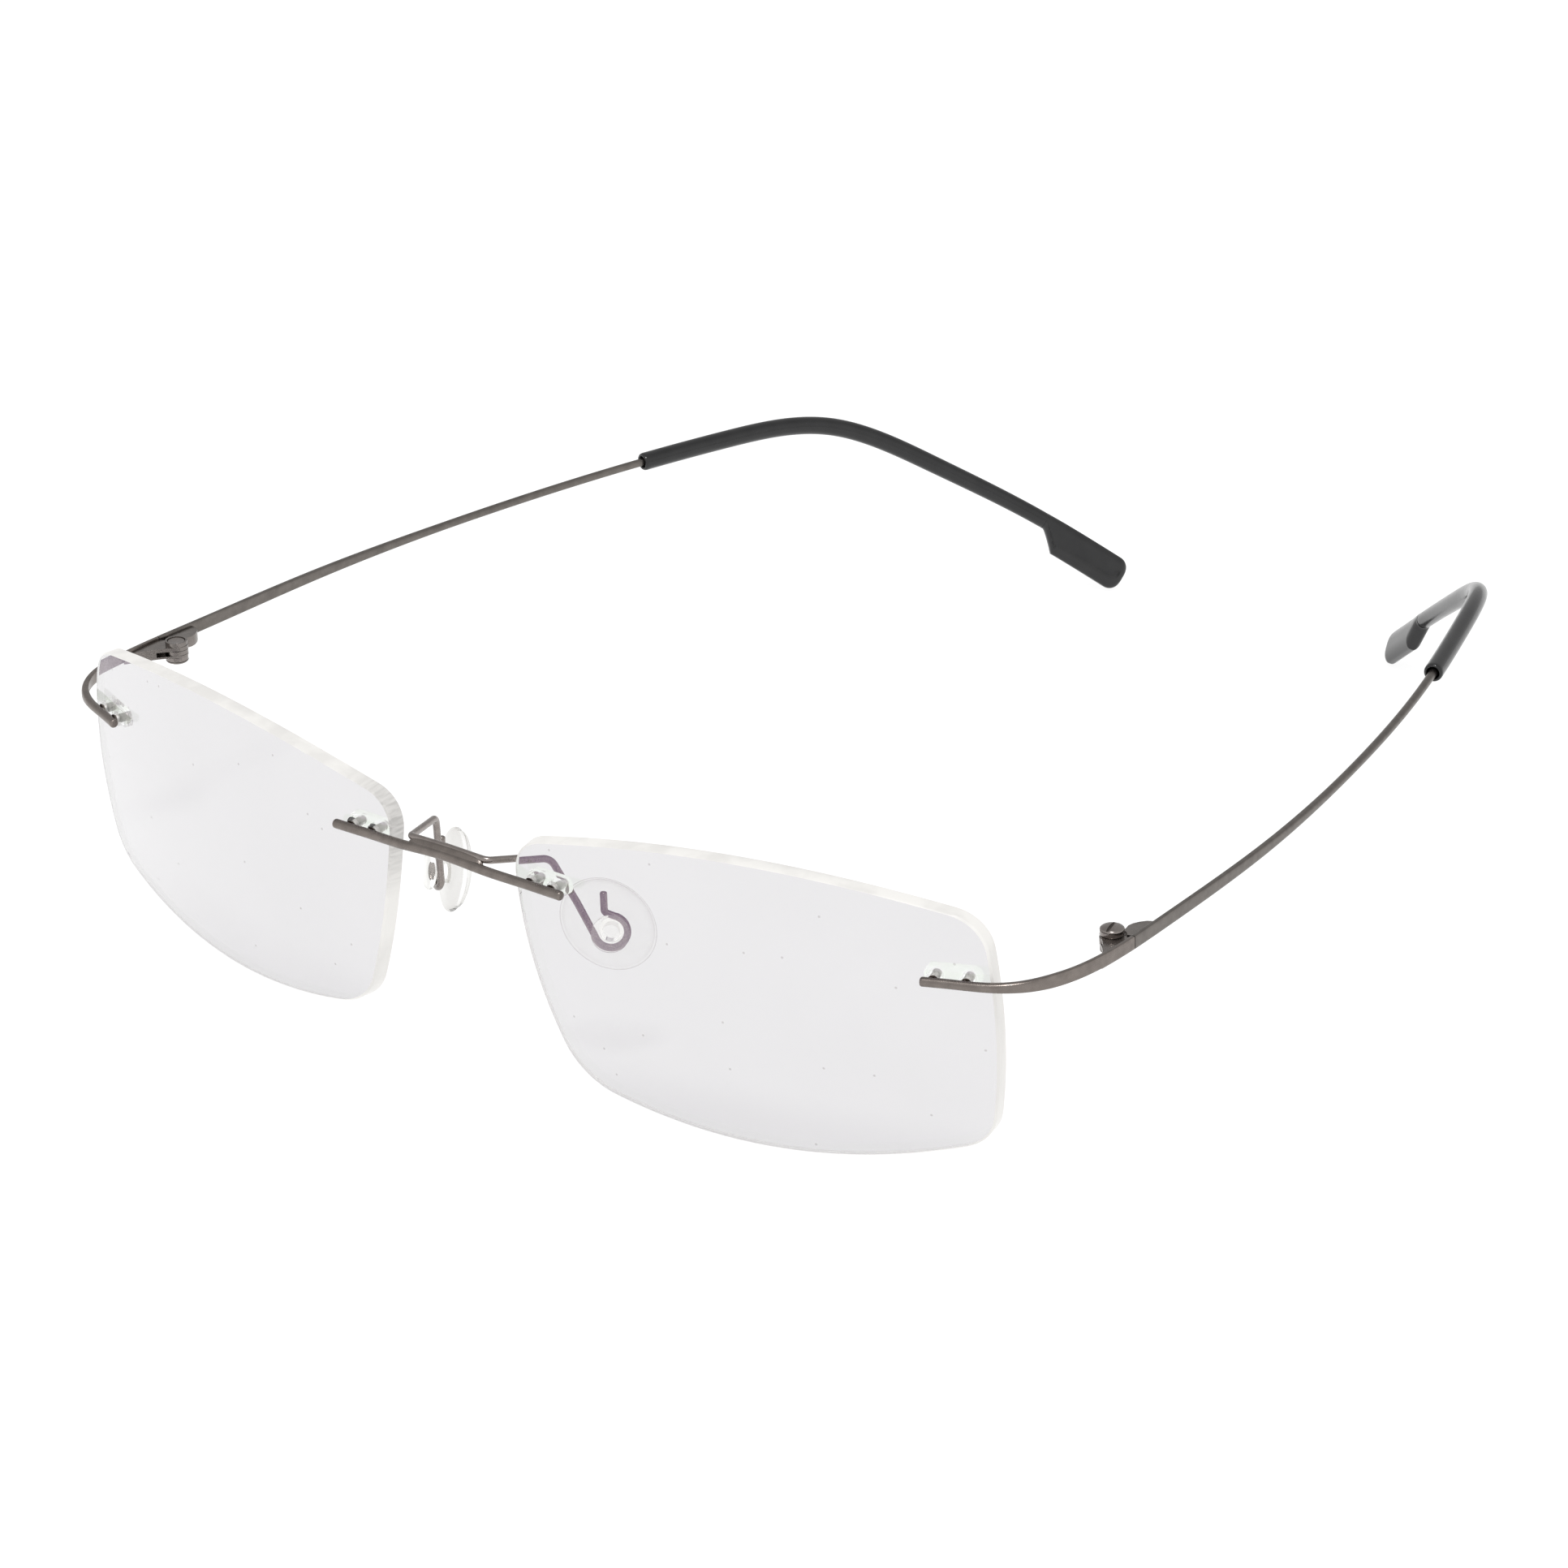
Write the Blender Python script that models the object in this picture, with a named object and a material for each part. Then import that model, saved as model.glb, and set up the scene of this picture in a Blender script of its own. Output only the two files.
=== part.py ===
"""Rimless eyeglasses: two drilled lenses hung on bent wire, with folding temples and rocking nose pads.

Lengths are in millimetres and become metres in add_part. The glasses stand on a table at z = 0, on the
lower edges of the lenses and the ends of the temples. They face -Y, and +X is the wearer's left.
Everything is drawn on the +X side (side = 1) and mirrored for the -X side (side = -1).
"""
import math

import bmesh
import bpy
import numpy as np
from mathutils import Matrix, Vector

MM = 0.001
SIDES = (("right", 1), ("left", -1))
REST_PITCH = math.radians(0.1925)
REST_SHIFT = (0.0, -72.342, -0.008)

# Lenses: a meniscus cut to a bowed four-cornered outline, turned by the wrap and tipped by the tilt.
LENS_CENTRE = (35.17, 3.07, 18.29)
LENS_WRAP = math.radians(11.5)
LENS_TILT = math.radians(2.5)
LENS_RADIUS = 108.0
LENS_THICK = 1.8
LENS_BEVEL = 0.18
LENS_REACH = 22.0
LENS_CORNERS = ((-27.0, 9.2), (25.0, 10.4), (25.2, -13.9), (-20.3, -15.8))
LENS_BOWS = (3.5, 1.3, 3.5, 1.5)
LENS_CUTS = (3.4, 3.3, 2.8, 4.0)
LENS_ROUNDING = 0.62
LENS_RINGS = (0.3, 0.55, 0.75, 0.89)

# Mounts: each lens has two pairs of holes, given by the pair's middle on the lens and half its spacing.
NOSE_MOUNT = (-23.2, 5.61, 1.4)
OUTER_MOUNT = (21.9, 4.16, 1.65)
HOLE_RADIUS = 0.84
SLEEVE_RADIUS = 0.78
SLEEVE_BORE = 0.56
FLANGE_RADIUS = 1.0
FLANGE_REACH = 0.25
FLANGE_THICK = 0.6
FLANGE_GAP = 0.1
POST_RADIUS = 0.42
POST_RIB = 0.06
POST_RIBS = 4
POST_END = 2.75

# Wire.
BAR_RADIUS = 0.5
END_BAR_RADIUS = 0.49
BAR_STANDOFF = 0.78
BAR_GAP = 0.03
ARM_RADIUS = 0.375
BAND_HEIGHT = 1.42
BAND_THICK = 0.52
CORE_RADIUS = 0.455
MOUNTS = (("nose", NOSE_MOUNT, BAR_RADIUS), ("outer", OUTER_MOUNT, END_BAR_RADIUS))

# Bridge bar, from the middle to the lens mount.
BRIDGE_CREST = ((0.0, -0.55, 24.65), (2.4, -0.55, 24.58), (5.5, -0.45, 24.35))
BRIDGE_ON_LENS = (-1.8, 0.4, 3.0)

# Pad arms: one wire that runs along the back of the bridge and ends in a loop round each pad's stem.
ARM_BEHIND_BRIDGE = 0.62
ARM_ABOVE_BRIDGE = 0.72
ARM_ON_BRIDGE = (5.1, 0.35, 25.1)
ARM_KNEE = (8.05, 7.5, 23.72)
ARM_SHIN = (9.62, 9.4, 18.6)
LOOP_CENTRE = (11.96, 11.76, 15.0)
LOOP_RADIUS = 1.65
LOOP_TAIL = ((0.0, -2.1), (0.6, -4.05))
LOOP_TAIL_BEND = 0.5
LOOP_TAIL_DIP = 0.3
ARM_BENDS = (0.9, 1.7, 3.0)
PAD_NORMAL = (-0.57, 0.804, -0.168)
PAD_LONG = (0.283, 0.13, -0.956)
PAD_TURN = math.radians(29)

# Nose pads, measured along the pad's normal from the middle of the loop.
PAD_HALF_LENGTH = 5.35
PAD_HALF_WIDTH = 4.3
PAD_OFFSET = (-0.25, -0.5)
PAD_BACK = 0.72
PAD_EDGE = 1.35
PAD_FRONT = 2.85
SOCKET_RADIUS = 1.3
SOCKET_DEPTH = 0.5
STEM_RADIUS = 0.85
FOOT_RADIUS = 1.2
BUTTON_RADIUS = 1.72
BUTTON_NEAR = 0.6
BUTTON_FAR = 1.28

# Temple line: points of the wire's centre from the outer mount to the end of the ear tip.
TEMPLE_LINE = (
    (62.6, 12.2, 22.62), (64.5, 15.4, 22.65), (65.6, 21.5, 22.6), (65.42, 31.7, 22.6),
    (64.21, 51.4, 22.9), (61.02, 72.5, 23.3), (56.27, 92.5, 23.7), (50.94, 108.8, 24.0),
    (45.3, 121.4, 22.8), (37.1, 130.4, 17.0), (28.4, 138.3, 10.1), (19.2, 145.15, 2.5),
)
END_BAR_ON_LENS = (-2.6, 0.4, 3.7)
SEAM_Y = 26.65
SEAM_GAP = 0.1
FLAT_START_Y = 9.5
FLAT_END_Y = 16.0
BAND_END_Y = 30.0
ROUND_AGAIN_Y = 72.0
MOUTH_Y = 97.4
CORE_END_Y = 112.0

# Ear tips.
TIP_RADIUS = 1.05
TIP_NECK = 0.96
TIP_TAPER = 22.0
TIP_MOUTH_BORE = 0.68
TIP_BORE = 0.55
TIP_COUNTERBORE = 4.0
PADDLE_LENGTH = 10.7
PADDLE_SHOULDER = 1.5
PADDLE_WIDTH = 4.1
PADDLE_THICK = 1.5
PADDLE_ROUND = 1.1
PADDLE_SIDE = (0.195, -0.697, -0.693)

# Hinges: a forked half on the end piece, a single knuckle on the temple, and a screw through both. The
# screw's head is on top at +X and underneath at -X; its other end is peened over inside a raised boss.
HINGE = (63.0, 26.9, 22.24)
HINGE_DROP = 0.16
KNUCKLE_RADIUS = 1.28
HINGE_HALF_HEIGHT = 0.6
SLOT_OFFSET = 0.1
SLOT_HALF_HEIGHT = 0.28
TONGUE_HALF_HEIGHT = 0.24
SLOT_START_Y = 24.4
FRONT_HALF_Y = 21.95
FRONT_HALF_SIDE = ((63.1, 25.1), (63.75, 24.3), (64.45, 23.3))
FRONT_HALF_TOE = 0.12
REAR_HALF_Y = (27.9, 30.0, 31.7)
REAR_HALF_LUMP = ((64.5, 31.6), (64.05, 31.35), (63.6, 30.8), (63.25, 30.1), (63.15, 29.4), (63.3, 28.9))
REAR_HALF_CLEARANCE = 0.2
TONGUE_NECK = ((64.7, 28.2), (63.95, 28.6))
SCREW_RADIUS = 0.5
SCREW_HOLE = 0.56
SCREW_HEAD = 1.25
SCREW_HEAD_SIDE = 0.55
SCREW_HEAD_DOME = 0.42
SCREW_SLOT = 0.36
SCREW_SLOT_DEPTH = 0.28
SCREW_TURN = math.radians(103)
BOSS_RADIUS = 1.23
BOSS_HEIGHT = 0.48
PEEN_RADIUS = 0.98
PEEN_THICK = 0.24
PEEN_SINK = 0.1
HINGE_GAP = 0.03

METAL = (0.16, 0.14, 0.13)
SCREW_METAL = (0.20, 0.18, 0.17)
BLACK = (0.012, 0.012, 0.013)
CLEAR = (0.93, 0.93, 0.92)
SILICONE = (0.88, 0.87, 0.85)


# ---- vectors, paths and sections -------------------------------------------------------------------

def vec(point):
    return np.array(point, dtype=float)


def unit(v):
    return v / np.linalg.norm(v)


def spline(points, per_span):
    """Natural cubic curve through the points, with the given number of steps in each span."""
    pts = np.array(points, dtype=float)
    knots = np.concatenate([[0.0], np.cumsum(np.linalg.norm(np.diff(pts, axis=0), axis=1))])
    gaps = np.diff(knots)
    count = len(pts)
    system = np.eye(count)
    right = np.zeros_like(pts)
    for i in range(1, count - 1):
        system[i, i - 1:i + 2] = gaps[i - 1], 2 * (gaps[i - 1] + gaps[i]), gaps[i]
        right[i] = 6 * ((pts[i + 1] - pts[i]) / gaps[i] - (pts[i] - pts[i - 1]) / gaps[i - 1])
    bend = np.linalg.solve(system, right)
    curve = []
    for i, (gap, steps) in enumerate(zip(gaps, per_span)):
        for t in np.arange(steps) / steps:
            a, b = (1 - t) * gap, t * gap
            curve.append((bend[i] * a ** 3 + bend[i + 1] * b ** 3) / (6 * gap)
                         + (pts[i] / gap - bend[i] * gap / 6) * a
                         + (pts[i + 1] / gap - bend[i + 1] * gap / 6) * b)
    curve.append(pts[-1])
    return np.array(curve)


def rounded_path(corners, radii, steps):
    """Straight wire through the corners, with an arc of the given radius at each inner corner."""
    pts = [vec(c) for c in corners]
    path = [pts[0]]
    for before, corner, after, radius in zip(pts, pts[1:], pts[2:], radii):
        back, ahead = unit(before - corner), unit(after - corner)
        half = math.acos(float(np.clip(back @ ahead, -1, 1))) / 2
        middle = corner + unit(back + ahead) * radius / math.sin(half)
        start = corner + back * radius / math.tan(half)
        end = corner + ahead * radius / math.tan(half)
        turn = math.pi - 2 * half
        across = start - middle
        along = unit(end - start - across * ((end - start) @ across) / radius ** 2) * radius
        for angle in np.linspace(0, turn, steps + 1):
            path.append(middle + across * math.cos(angle) + along * math.sin(angle))
    path.append(pts[-1])
    return np.array(path)


def tangents(path):
    """Direction of the path at each of its points."""
    legs = np.diff(path, axis=0)
    legs /= np.linalg.norm(legs, axis=1)[:, None]
    inner = legs[:-1] + legs[1:]
    inner /= np.linalg.norm(inner, axis=1)[:, None]
    return np.vstack([legs[:1], inner, legs[-1:]])


def oval(half_width, half_height, power, count):
    """Section outline: power 2 is an ellipse, and a higher power is a squarer bar."""
    angles = (np.arange(count) + 0.5) * 2 * math.pi / count
    c, s = np.cos(angles), np.sin(angles)
    reach = (np.abs(c) ** power + np.abs(s) ** power) ** (-1 / power)
    return np.stack([half_width * c * reach, half_height * s * reach], axis=1)


def ring_at(point, axis_a, axis_b, section):
    return point + section[:, :1] * axis_a + section[:, 1:] * axis_b


def guided_rings(path, guide, sections):
    """Sections set across the path: their second axis leans to the guide direction."""
    rings = []
    for point, along, section in zip(path, tangents(path), sections):
        axis_b = unit(vec(guide) - along * (along @ vec(guide)))
        rings.append(ring_at(point, np.cross(along, axis_b), axis_b, section))
    return rings


def rolling_rings(path, radius, count):
    """Round wire along the path, with its seam carried along so that it never twists."""
    along = tangents(path)
    axis_b = unit(np.cross(along[0], [0.0, 0.0, 1.0]))
    section = oval(radius, radius, 2, count)
    rings = []
    for point, direction in zip(path, along):
        axis_b = unit(axis_b - direction * (direction @ axis_b))
        rings.append(ring_at(point, np.cross(direction, axis_b), axis_b, section))
    return rings


def domed_ends(path, radius):
    """Adds short end pieces to a path and gives the radius at each point, so that the ends are rounded."""
    inset = radius * 0.45
    start, end = tangents(path)[0], tangents(path)[-1]
    longer = np.vstack([path[:1] - start * inset, path[:1] - start * inset * 0.6, path,
                        path[-1:] + end * inset * 0.6, path[-1:] + end * inset])
    radii = [radius * 0.62, radius * 0.9] + [radius] * len(path) + [radius * 0.9, radius * 0.62]
    return longer, radii


# ---- meshes ----------------------------------------------------------------------------------------

def mesh_from_rings(rings, capped=(True, True)):
    """Skin of equal rings, closed by flat caps or, where a cap is off, by fans to the ring's middle."""
    bm = bmesh.new()
    loops = [[bm.verts.new(p) for p in ring] for ring in rings]
    count = len(loops[0])
    for lower, upper in zip(loops, loops[1:]):
        for i in range(count):
            j = (i + 1) % count
            bm.faces.new((lower[i], lower[j], upper[j], upper[i]))
    for loop, ring, flat in ((loops[0], rings[0], capped[0]), (loops[-1], rings[-1], capped[1])):
        if flat:
            bm.faces.new(loop)
        else:
            hub = bm.verts.new(np.mean(ring, axis=0))
            for i in range(count):
                bm.faces.new((loop[i], loop[(i + 1) % count], hub))
    bmesh.ops.recalc_face_normals(bm, faces=bm.faces)
    return bm


def lathe(profile, count):
    """Solid of revolution about Z from (radius, height) points, closed by flat caps."""
    angles = (np.arange(count) + 0.5) * 2 * math.pi / count
    circle = np.stack([np.cos(angles), np.sin(angles), np.zeros(count)], axis=1)
    return mesh_from_rings([circle * radius + [0, 0, height] for radius, height in profile])


def prism(outline, bottom, top):
    """Flat outline in XY, raised from bottom to top."""
    return mesh_from_rings([[(x, y, z) for x, y in outline] for z in (bottom, top)])


def placed(bm, origin, axis_x, axis_y, axis_z):
    """Moves a mesh drawn about the origin into the frame of the three axes."""
    turn = Matrix((axis_x, axis_y, axis_z)).transposed().to_4x4()
    bmesh.ops.transform(bm, matrix=Matrix.Translation(Vector(origin)) @ turn, verts=bm.verts)
    return bm


def joined(parts):
    """One bmesh that holds several separate closed pieces, used as a cutter."""
    whole = bmesh.new()
    for bm in parts:
        piece = bpy.data.meshes.new("piece")
        bm.to_mesh(piece)
        bm.free()
        whole.from_mesh(piece)
        bpy.data.meshes.remove(piece)
    return whole


def boolean(bm, tool, operation):
    """Solid of the exact union or difference of two bmeshes."""
    pair = []
    for source in (bm, tool):
        data = bpy.data.meshes.new("solid")
        source.to_mesh(data)
        source.free()
        pair.append(bpy.data.objects.new("solid", data))
        bpy.context.scene.collection.objects.link(pair[-1])
    cut = pair[0].modifiers.new("cut", "BOOLEAN")
    cut.object = pair[1]
    cut.operation = operation
    cut.solver = "EXACT"
    depsgraph = bpy.context.evaluated_depsgraph_get()
    data = bpy.data.meshes.new_from_object(pair[0].evaluated_get(depsgraph))
    result = bmesh.new()
    result.from_mesh(data)
    bpy.data.meshes.remove(data)
    for obj in pair:
        data = obj.data
        bpy.data.objects.remove(obj)
        bpy.data.meshes.remove(data)
    return result


def make_material(name, colour, roughness, metallic, clear=0.0):
    material = bpy.data.materials.new(name)
    material.use_nodes = True
    shader = material.node_tree.nodes["Principled BSDF"]
    shader.inputs["Base Color"].default_value = (*colour, 1.0)
    shader.inputs["Roughness"].default_value = roughness
    shader.inputs["Metallic"].default_value = metallic
    shader.inputs["Transmission Weight"].default_value = clear
    return material


def at_rest(side):
    """From mm in the wearer's frame to metres, as the glasses lie on a table on lenses and ear tips."""
    tip_back = Matrix.Rotation(-REST_PITCH, 4, "X")
    return Matrix.Diagonal((MM * side, MM, MM, 1.0)) @ Matrix.Translation(REST_SHIFT) @ tip_back


def add_part(name, bm, material, side, origin, parent=None):
    """Object from a right-side bmesh in mm: mirrored for the left side, with its origin at the point."""
    at = at_rest(side) @ Vector(origin)
    bmesh.ops.transform(bm, matrix=Matrix.Translation(-at) @ at_rest(side), verts=bm.verts)
    if side < 0:
        bmesh.ops.reverse_faces(bm, faces=bm.faces)
    data = bpy.data.meshes.new(name)
    bm.to_mesh(data)
    bm.free()
    data.materials.append(material)
    data.shade_smooth()
    data.set_sharp_from_angle(angle=math.radians(35))
    obj = bpy.data.objects.new(name, data)
    bpy.context.scene.collection.objects.link(obj)
    obj.parent = parent
    obj.location = at - parent.location if parent else at
    return obj


def add_pivot(name, point, side):
    """Empty on a joint's axis, which carries the pieces that turn about it."""
    pivot = bpy.data.objects.new(name, None)
    pivot.location = at_rest(side) @ Vector(point)
    bpy.context.scene.collection.objects.link(pivot)
    return pivot


# ---- lenses and their mounts -----------------------------------------------------------------------

def lens_axes():
    """Directions across the lens, up the lens and back along its axis."""
    across = vec((math.cos(LENS_WRAP), math.sin(LENS_WRAP), 0))
    level = vec((-math.sin(LENS_WRAP), math.cos(LENS_WRAP), 0))
    up = vec((0, 0, math.cos(LENS_TILT))) - level * math.sin(LENS_TILT)
    back = vec((0, 0, math.sin(LENS_TILT))) + level * math.cos(LENS_TILT)
    return across, up, back


def lens_point(u, v, depth=0.0):
    """Point of the lens, given across and up its front, and depth behind the front along the lens axis."""
    across, up, back = lens_axes()
    sag = LENS_RADIUS - math.sqrt(LENS_RADIUS ** 2 - u * u - v * v)
    return vec(LENS_CENTRE) + across * u + up * v + back * (sag + depth)


def lens_outline(side_steps, corner_steps):
    """Closed outline of the lens: four bowed sides, with a smooth curve at each corner."""
    corners = [vec(c) for c in LENS_CORNERS]
    sides = []
    for i, (start, bow) in enumerate(zip(corners, LENS_BOWS)):
        end = corners[(i + 1) % 4]
        length = np.linalg.norm(end - start)
        outward = vec((start[1] - end[1], end[0] - start[0])) / length
        first, last = LENS_CUTS[i] / length, 1 - LENS_CUTS[(i + 1) % 4] / length
        t = np.linspace(first, last, side_steps)[:, None]
        sides.append(start + (end - start) * t + outward * (4 * bow * t * (1 - t)))
    outline = []
    for here, there in zip(sides, sides[1:] + sides[:1]):
        leave, arrive = unit(here[-1] - here[-2]), unit(there[0] - there[1])
        reach = np.linalg.solve(np.stack([leave, -arrive], axis=1), there[0] - here[-1])
        grip_a = here[-1] + leave * reach[0] * LENS_ROUNDING
        grip_b = there[0] + arrive * reach[1] * LENS_ROUNDING
        outline.extend(here)
        for t in np.arange(1, corner_steps) / corner_steps:
            outline.append((1 - t) ** 3 * here[-1] + 3 * (1 - t) ** 2 * t * grip_a
                           + 3 * (1 - t) * t * t * grip_b + t ** 3 * there[0])
    return np.array(outline)


def mount_frame(mount):
    """Middle of a hole pair on the lens front, with the directions along the pair, up and back."""
    u, v, _ = mount
    point = lens_point(u, v)
    across, up, back = lens_axes()
    centre = vec(LENS_CENTRE) + back * LENS_RADIUS
    normal = unit(centre - point)
    along = unit(np.cross(np.cross(normal, across), normal))
    return point, along, np.cross(along, -normal), normal


def mount_holes(mount):
    point, along, _, _ = mount_frame(mount)
    return [point + along * mount[2] * k for k in (-1, 1)]


def hole_cutters():
    pins = []
    for mount in (NOSE_MOUNT, OUTER_MOUNT):
        _, along, _, normal = mount_frame(mount)
        for hole in mount_holes(mount):
            pin = lathe([(HOLE_RADIUS, -2.0), (HOLE_RADIUS, LENS_THICK + 2.0)], 16)
            pins.append(placed(pin, hole, along, np.cross(normal, along), normal))
    return joined(pins)


def lens_solid():
    outline = lens_outline(7, 5)
    rings = []
    for scale in LENS_RINGS:
        rings.append([lens_point(u * scale, v * scale) for u, v in outline])
    edge = 1 - LENS_BEVEL / LENS_REACH
    for scale, depth in ((edge, 0), (1, LENS_BEVEL), (1, LENS_THICK - LENS_BEVEL), (edge, LENS_THICK)):
        rings.append([lens_point(u * scale, v * scale, depth) for u, v in outline])
    for scale in LENS_RINGS[::-1]:
        rings.append([lens_point(u * scale, v * scale, LENS_THICK) for u, v in outline])
    return boolean(mesh_from_rings(rings, (False, False)), hole_cutters(), "DIFFERENCE")


def capsule(half_spacing, radius, steps):
    """Outline of two round lobes joined by straight sides."""
    outline = []
    for middle, start in ((half_spacing, -math.pi / 2), (-half_spacing, math.pi / 2)):
        for angle in start + np.linspace(0, math.pi, steps):
            outline.append((middle + radius * math.cos(angle), radius * math.sin(angle)))
    return outline


def sleeve_solid(mount):
    """Double sleeve: a two-lobed flange behind the lens with a tube through each hole."""
    point, along, _, normal = mount_frame(mount)
    rear = LENS_THICK + FLANGE_GAP
    body = prism(capsule(mount[2] + FLANGE_REACH, FLANGE_RADIUS, 8), rear, rear + FLANGE_THICK)
    tubes, bores = [], []
    for x in (-mount[2], mount[2]):
        for group, radius, low, high in ((tubes, SLEEVE_RADIUS, 0.05, rear + 0.2),
                                         (bores, SLEEVE_BORE, -1.0, rear + 2.0)):
            piece = lathe([(radius, low), (radius, high)], 14)
            bmesh.ops.translate(piece, vec=(x, 0, 0), verts=piece.verts)
            group.append(piece)
    body = boolean(body, joined(tubes), "UNION")
    body = boolean(body, joined(bores), "DIFFERENCE")
    return placed(body, point, along, np.cross(normal, along), normal)


def post_solid(mount, end, bar_radius):
    """Ribbed pin from the back of the bar through the sleeve."""
    _, along, _, normal = mount_frame(mount)
    start = bar_radius + BAR_GAP - BAR_STANDOFF
    profile = [(POST_RADIUS, start), (POST_RADIUS, 0.1)]
    pitch = (POST_END - 0.3) / POST_RIBS
    for rib in range(POST_RIBS):
        low = 0.2 + rib * pitch
        profile += [(POST_RADIUS, low), (POST_RADIUS + POST_RIB, low + pitch * 0.35),
                    (POST_RADIUS, low + pitch * 0.7)]
    profile.append((POST_RADIUS, POST_END))
    hole = mount_holes(mount)[end]
    return placed(lathe(profile, 10), hole, along, np.cross(normal, along), normal)


# ---- wire work -------------------------------------------------------------------------------------

def bar_point(mount, along_by):
    point, along, _, normal = mount_frame(mount)
    return point + along * along_by - normal * BAR_STANDOFF


def round_bar(path, radius, count):
    longer, radii = domed_ends(path, radius)
    return guided_rings(longer, (0, 0, 1), [oval(r, r, 2, count) for r in radii])


def bridge_path():
    """Bridge bar from the -X tip to the +X tip."""
    half = [vec(p) for p in BRIDGE_CREST]
    half += [bar_point(NOSE_MOUNT, by) for by in BRIDGE_ON_LENS]
    mirrored = [p * (-1, 1, 1) for p in half[:0:-1]]
    return spline(mirrored + half, [3, 3, 4, 4, 4, 4, 4, 4, 3, 3])


def loop_frame():
    normal = unit(vec(PAD_NORMAL))
    long_way = vec(PAD_LONG)
    long_way = unit(long_way - normal * (normal @ long_way))
    return vec(LOOP_CENTRE), np.cross(long_way, normal), long_way, normal


def arm_half_path():
    """Pad-arm wire on the +X side, from the middle of the bridge to the loop's free tail."""
    centre, cross_way, long_way, normal = loop_frame()
    start = vec(BRIDGE_CREST[0]) + (0.0, ARM_BEHIND_BRIDGE, ARM_ABOVE_BRIDGE)
    leg = [start, vec(ARM_ON_BRIDGE), vec(ARM_KNEE), vec(ARM_SHIN)]
    entry = centre - cross_way * LOOP_RADIUS
    bends = rounded_path(leg + [entry], ARM_BENDS, 5)[:-1]
    loop = []
    for angle in np.radians(np.arange(180, 421, 20)):
        spot = centre + (cross_way * math.cos(angle) - long_way * math.sin(angle)) * LOOP_RADIUS
        loop.append(spot)
    corners = [loop.pop()] + [centre + cross_way * x + long_way * y for x, y in LOOP_TAIL]
    corners[-1] = corners[-1] - normal * LOOP_TAIL_DIP
    return np.vstack([bends, loop, rounded_path(corners, (LOOP_TAIL_BEND,), 5)])


def arm_path():
    half = arm_half_path()
    return np.vstack([(half * (-1, 1, 1))[:0:-1], half])


def temple_line(steps):
    """Centre of the end piece and temple as one curve, from the bar's tip to the end of the ear tip."""
    bar = [bar_point(OUTER_MOUNT, by) for by in END_BAR_ON_LENS]
    points = bar + list(TEMPLE_LINE)
    return spline(points, [steps] * (len(points) - 1))


def between(path, low, high):
    """Stretch of a path between two Y values, with its ends set exactly on them."""
    def crossing(y):
        i = int(np.searchsorted(path[:, 1], y))
        t = (y - path[i - 1, 1]) / (path[i, 1] - path[i - 1, 1])
        return path[i - 1] + (path[i] - path[i - 1]) * t
    inside = path[(path[:, 1] > low + 0.3) & (path[:, 1] < high - 0.3)]
    first = path[:1] if low < path[0, 1] else crossing(low)[None]
    return np.vstack([first, inside[1:] if low < path[0, 1] else inside, crossing(high)[None]])


def blend(value, low, high):
    t = min(max((value - low) / (high - low), 0.0), 1.0)
    return t * t * (3 - 2 * t)


def wire_section(y, count):
    """Section of the temple wire: round at the mount, a flat band at the hinge, round at the ear tip."""
    flat = blend(y, FLAT_START_Y, FLAT_END_Y) - blend(y, BAND_END_Y, ROUND_AGAIN_Y)
    radius = END_BAR_RADIUS if y < SEAM_Y else CORE_RADIUS
    half_thick = radius + (BAND_THICK / 2 - radius) * flat
    half_height = radius + (BAND_HEIGHT / 2 - radius) * flat
    return oval(half_thick, half_height, 2 + 4 * flat, count)


def end_piece_solid():
    path = between(temple_line(6), -10, SEAM_Y)
    longer, radii = domed_ends(path, END_BAR_RADIUS)
    longer = longer[:-2]
    sections = [wire_section(p[1], 12) for p in longer]
    for i, radius in enumerate(radii[:2]):
        sections[i] = oval(radius, radius, 2, 12)
    return mesh_from_rings(guided_rings(longer, (0, 0, 1), sections))


def temple_solid():
    path = between(temple_line(4), SEAM_Y + SEAM_GAP, CORE_END_Y)
    return mesh_from_rings(guided_rings(path, (0, 0, 1), [wire_section(p[1], 12) for p in path]))


def paddle_section(to_end, count):
    """Section of the ear tip at a distance from its end: a tube that steps out into a flat paddle."""
    flat = 1 - blend(to_end, PADDLE_LENGTH - PADDLE_SHOULDER, PADDLE_LENGTH)
    trim = 1 - math.sqrt(max(1 - max(1 - to_end / PADDLE_ROUND, 0) ** 2, 0))
    tube = TIP_NECK + (TIP_RADIUS - TIP_NECK) * blend(to_end, PADDLE_LENGTH, PADDLE_LENGTH + TIP_TAPER)
    half_width = tube + (PADDLE_WIDTH / 2 - tube) * flat - trim * PADDLE_ROUND
    half_thick = tube + (PADDLE_THICK / 2 - tube) * flat - trim * 0.5
    section = oval(half_thick, half_width, 2 + 2.5 * flat, count)
    section[:, 1] += (PADDLE_WIDTH / 2 - TIP_NECK) * flat
    return section


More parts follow.
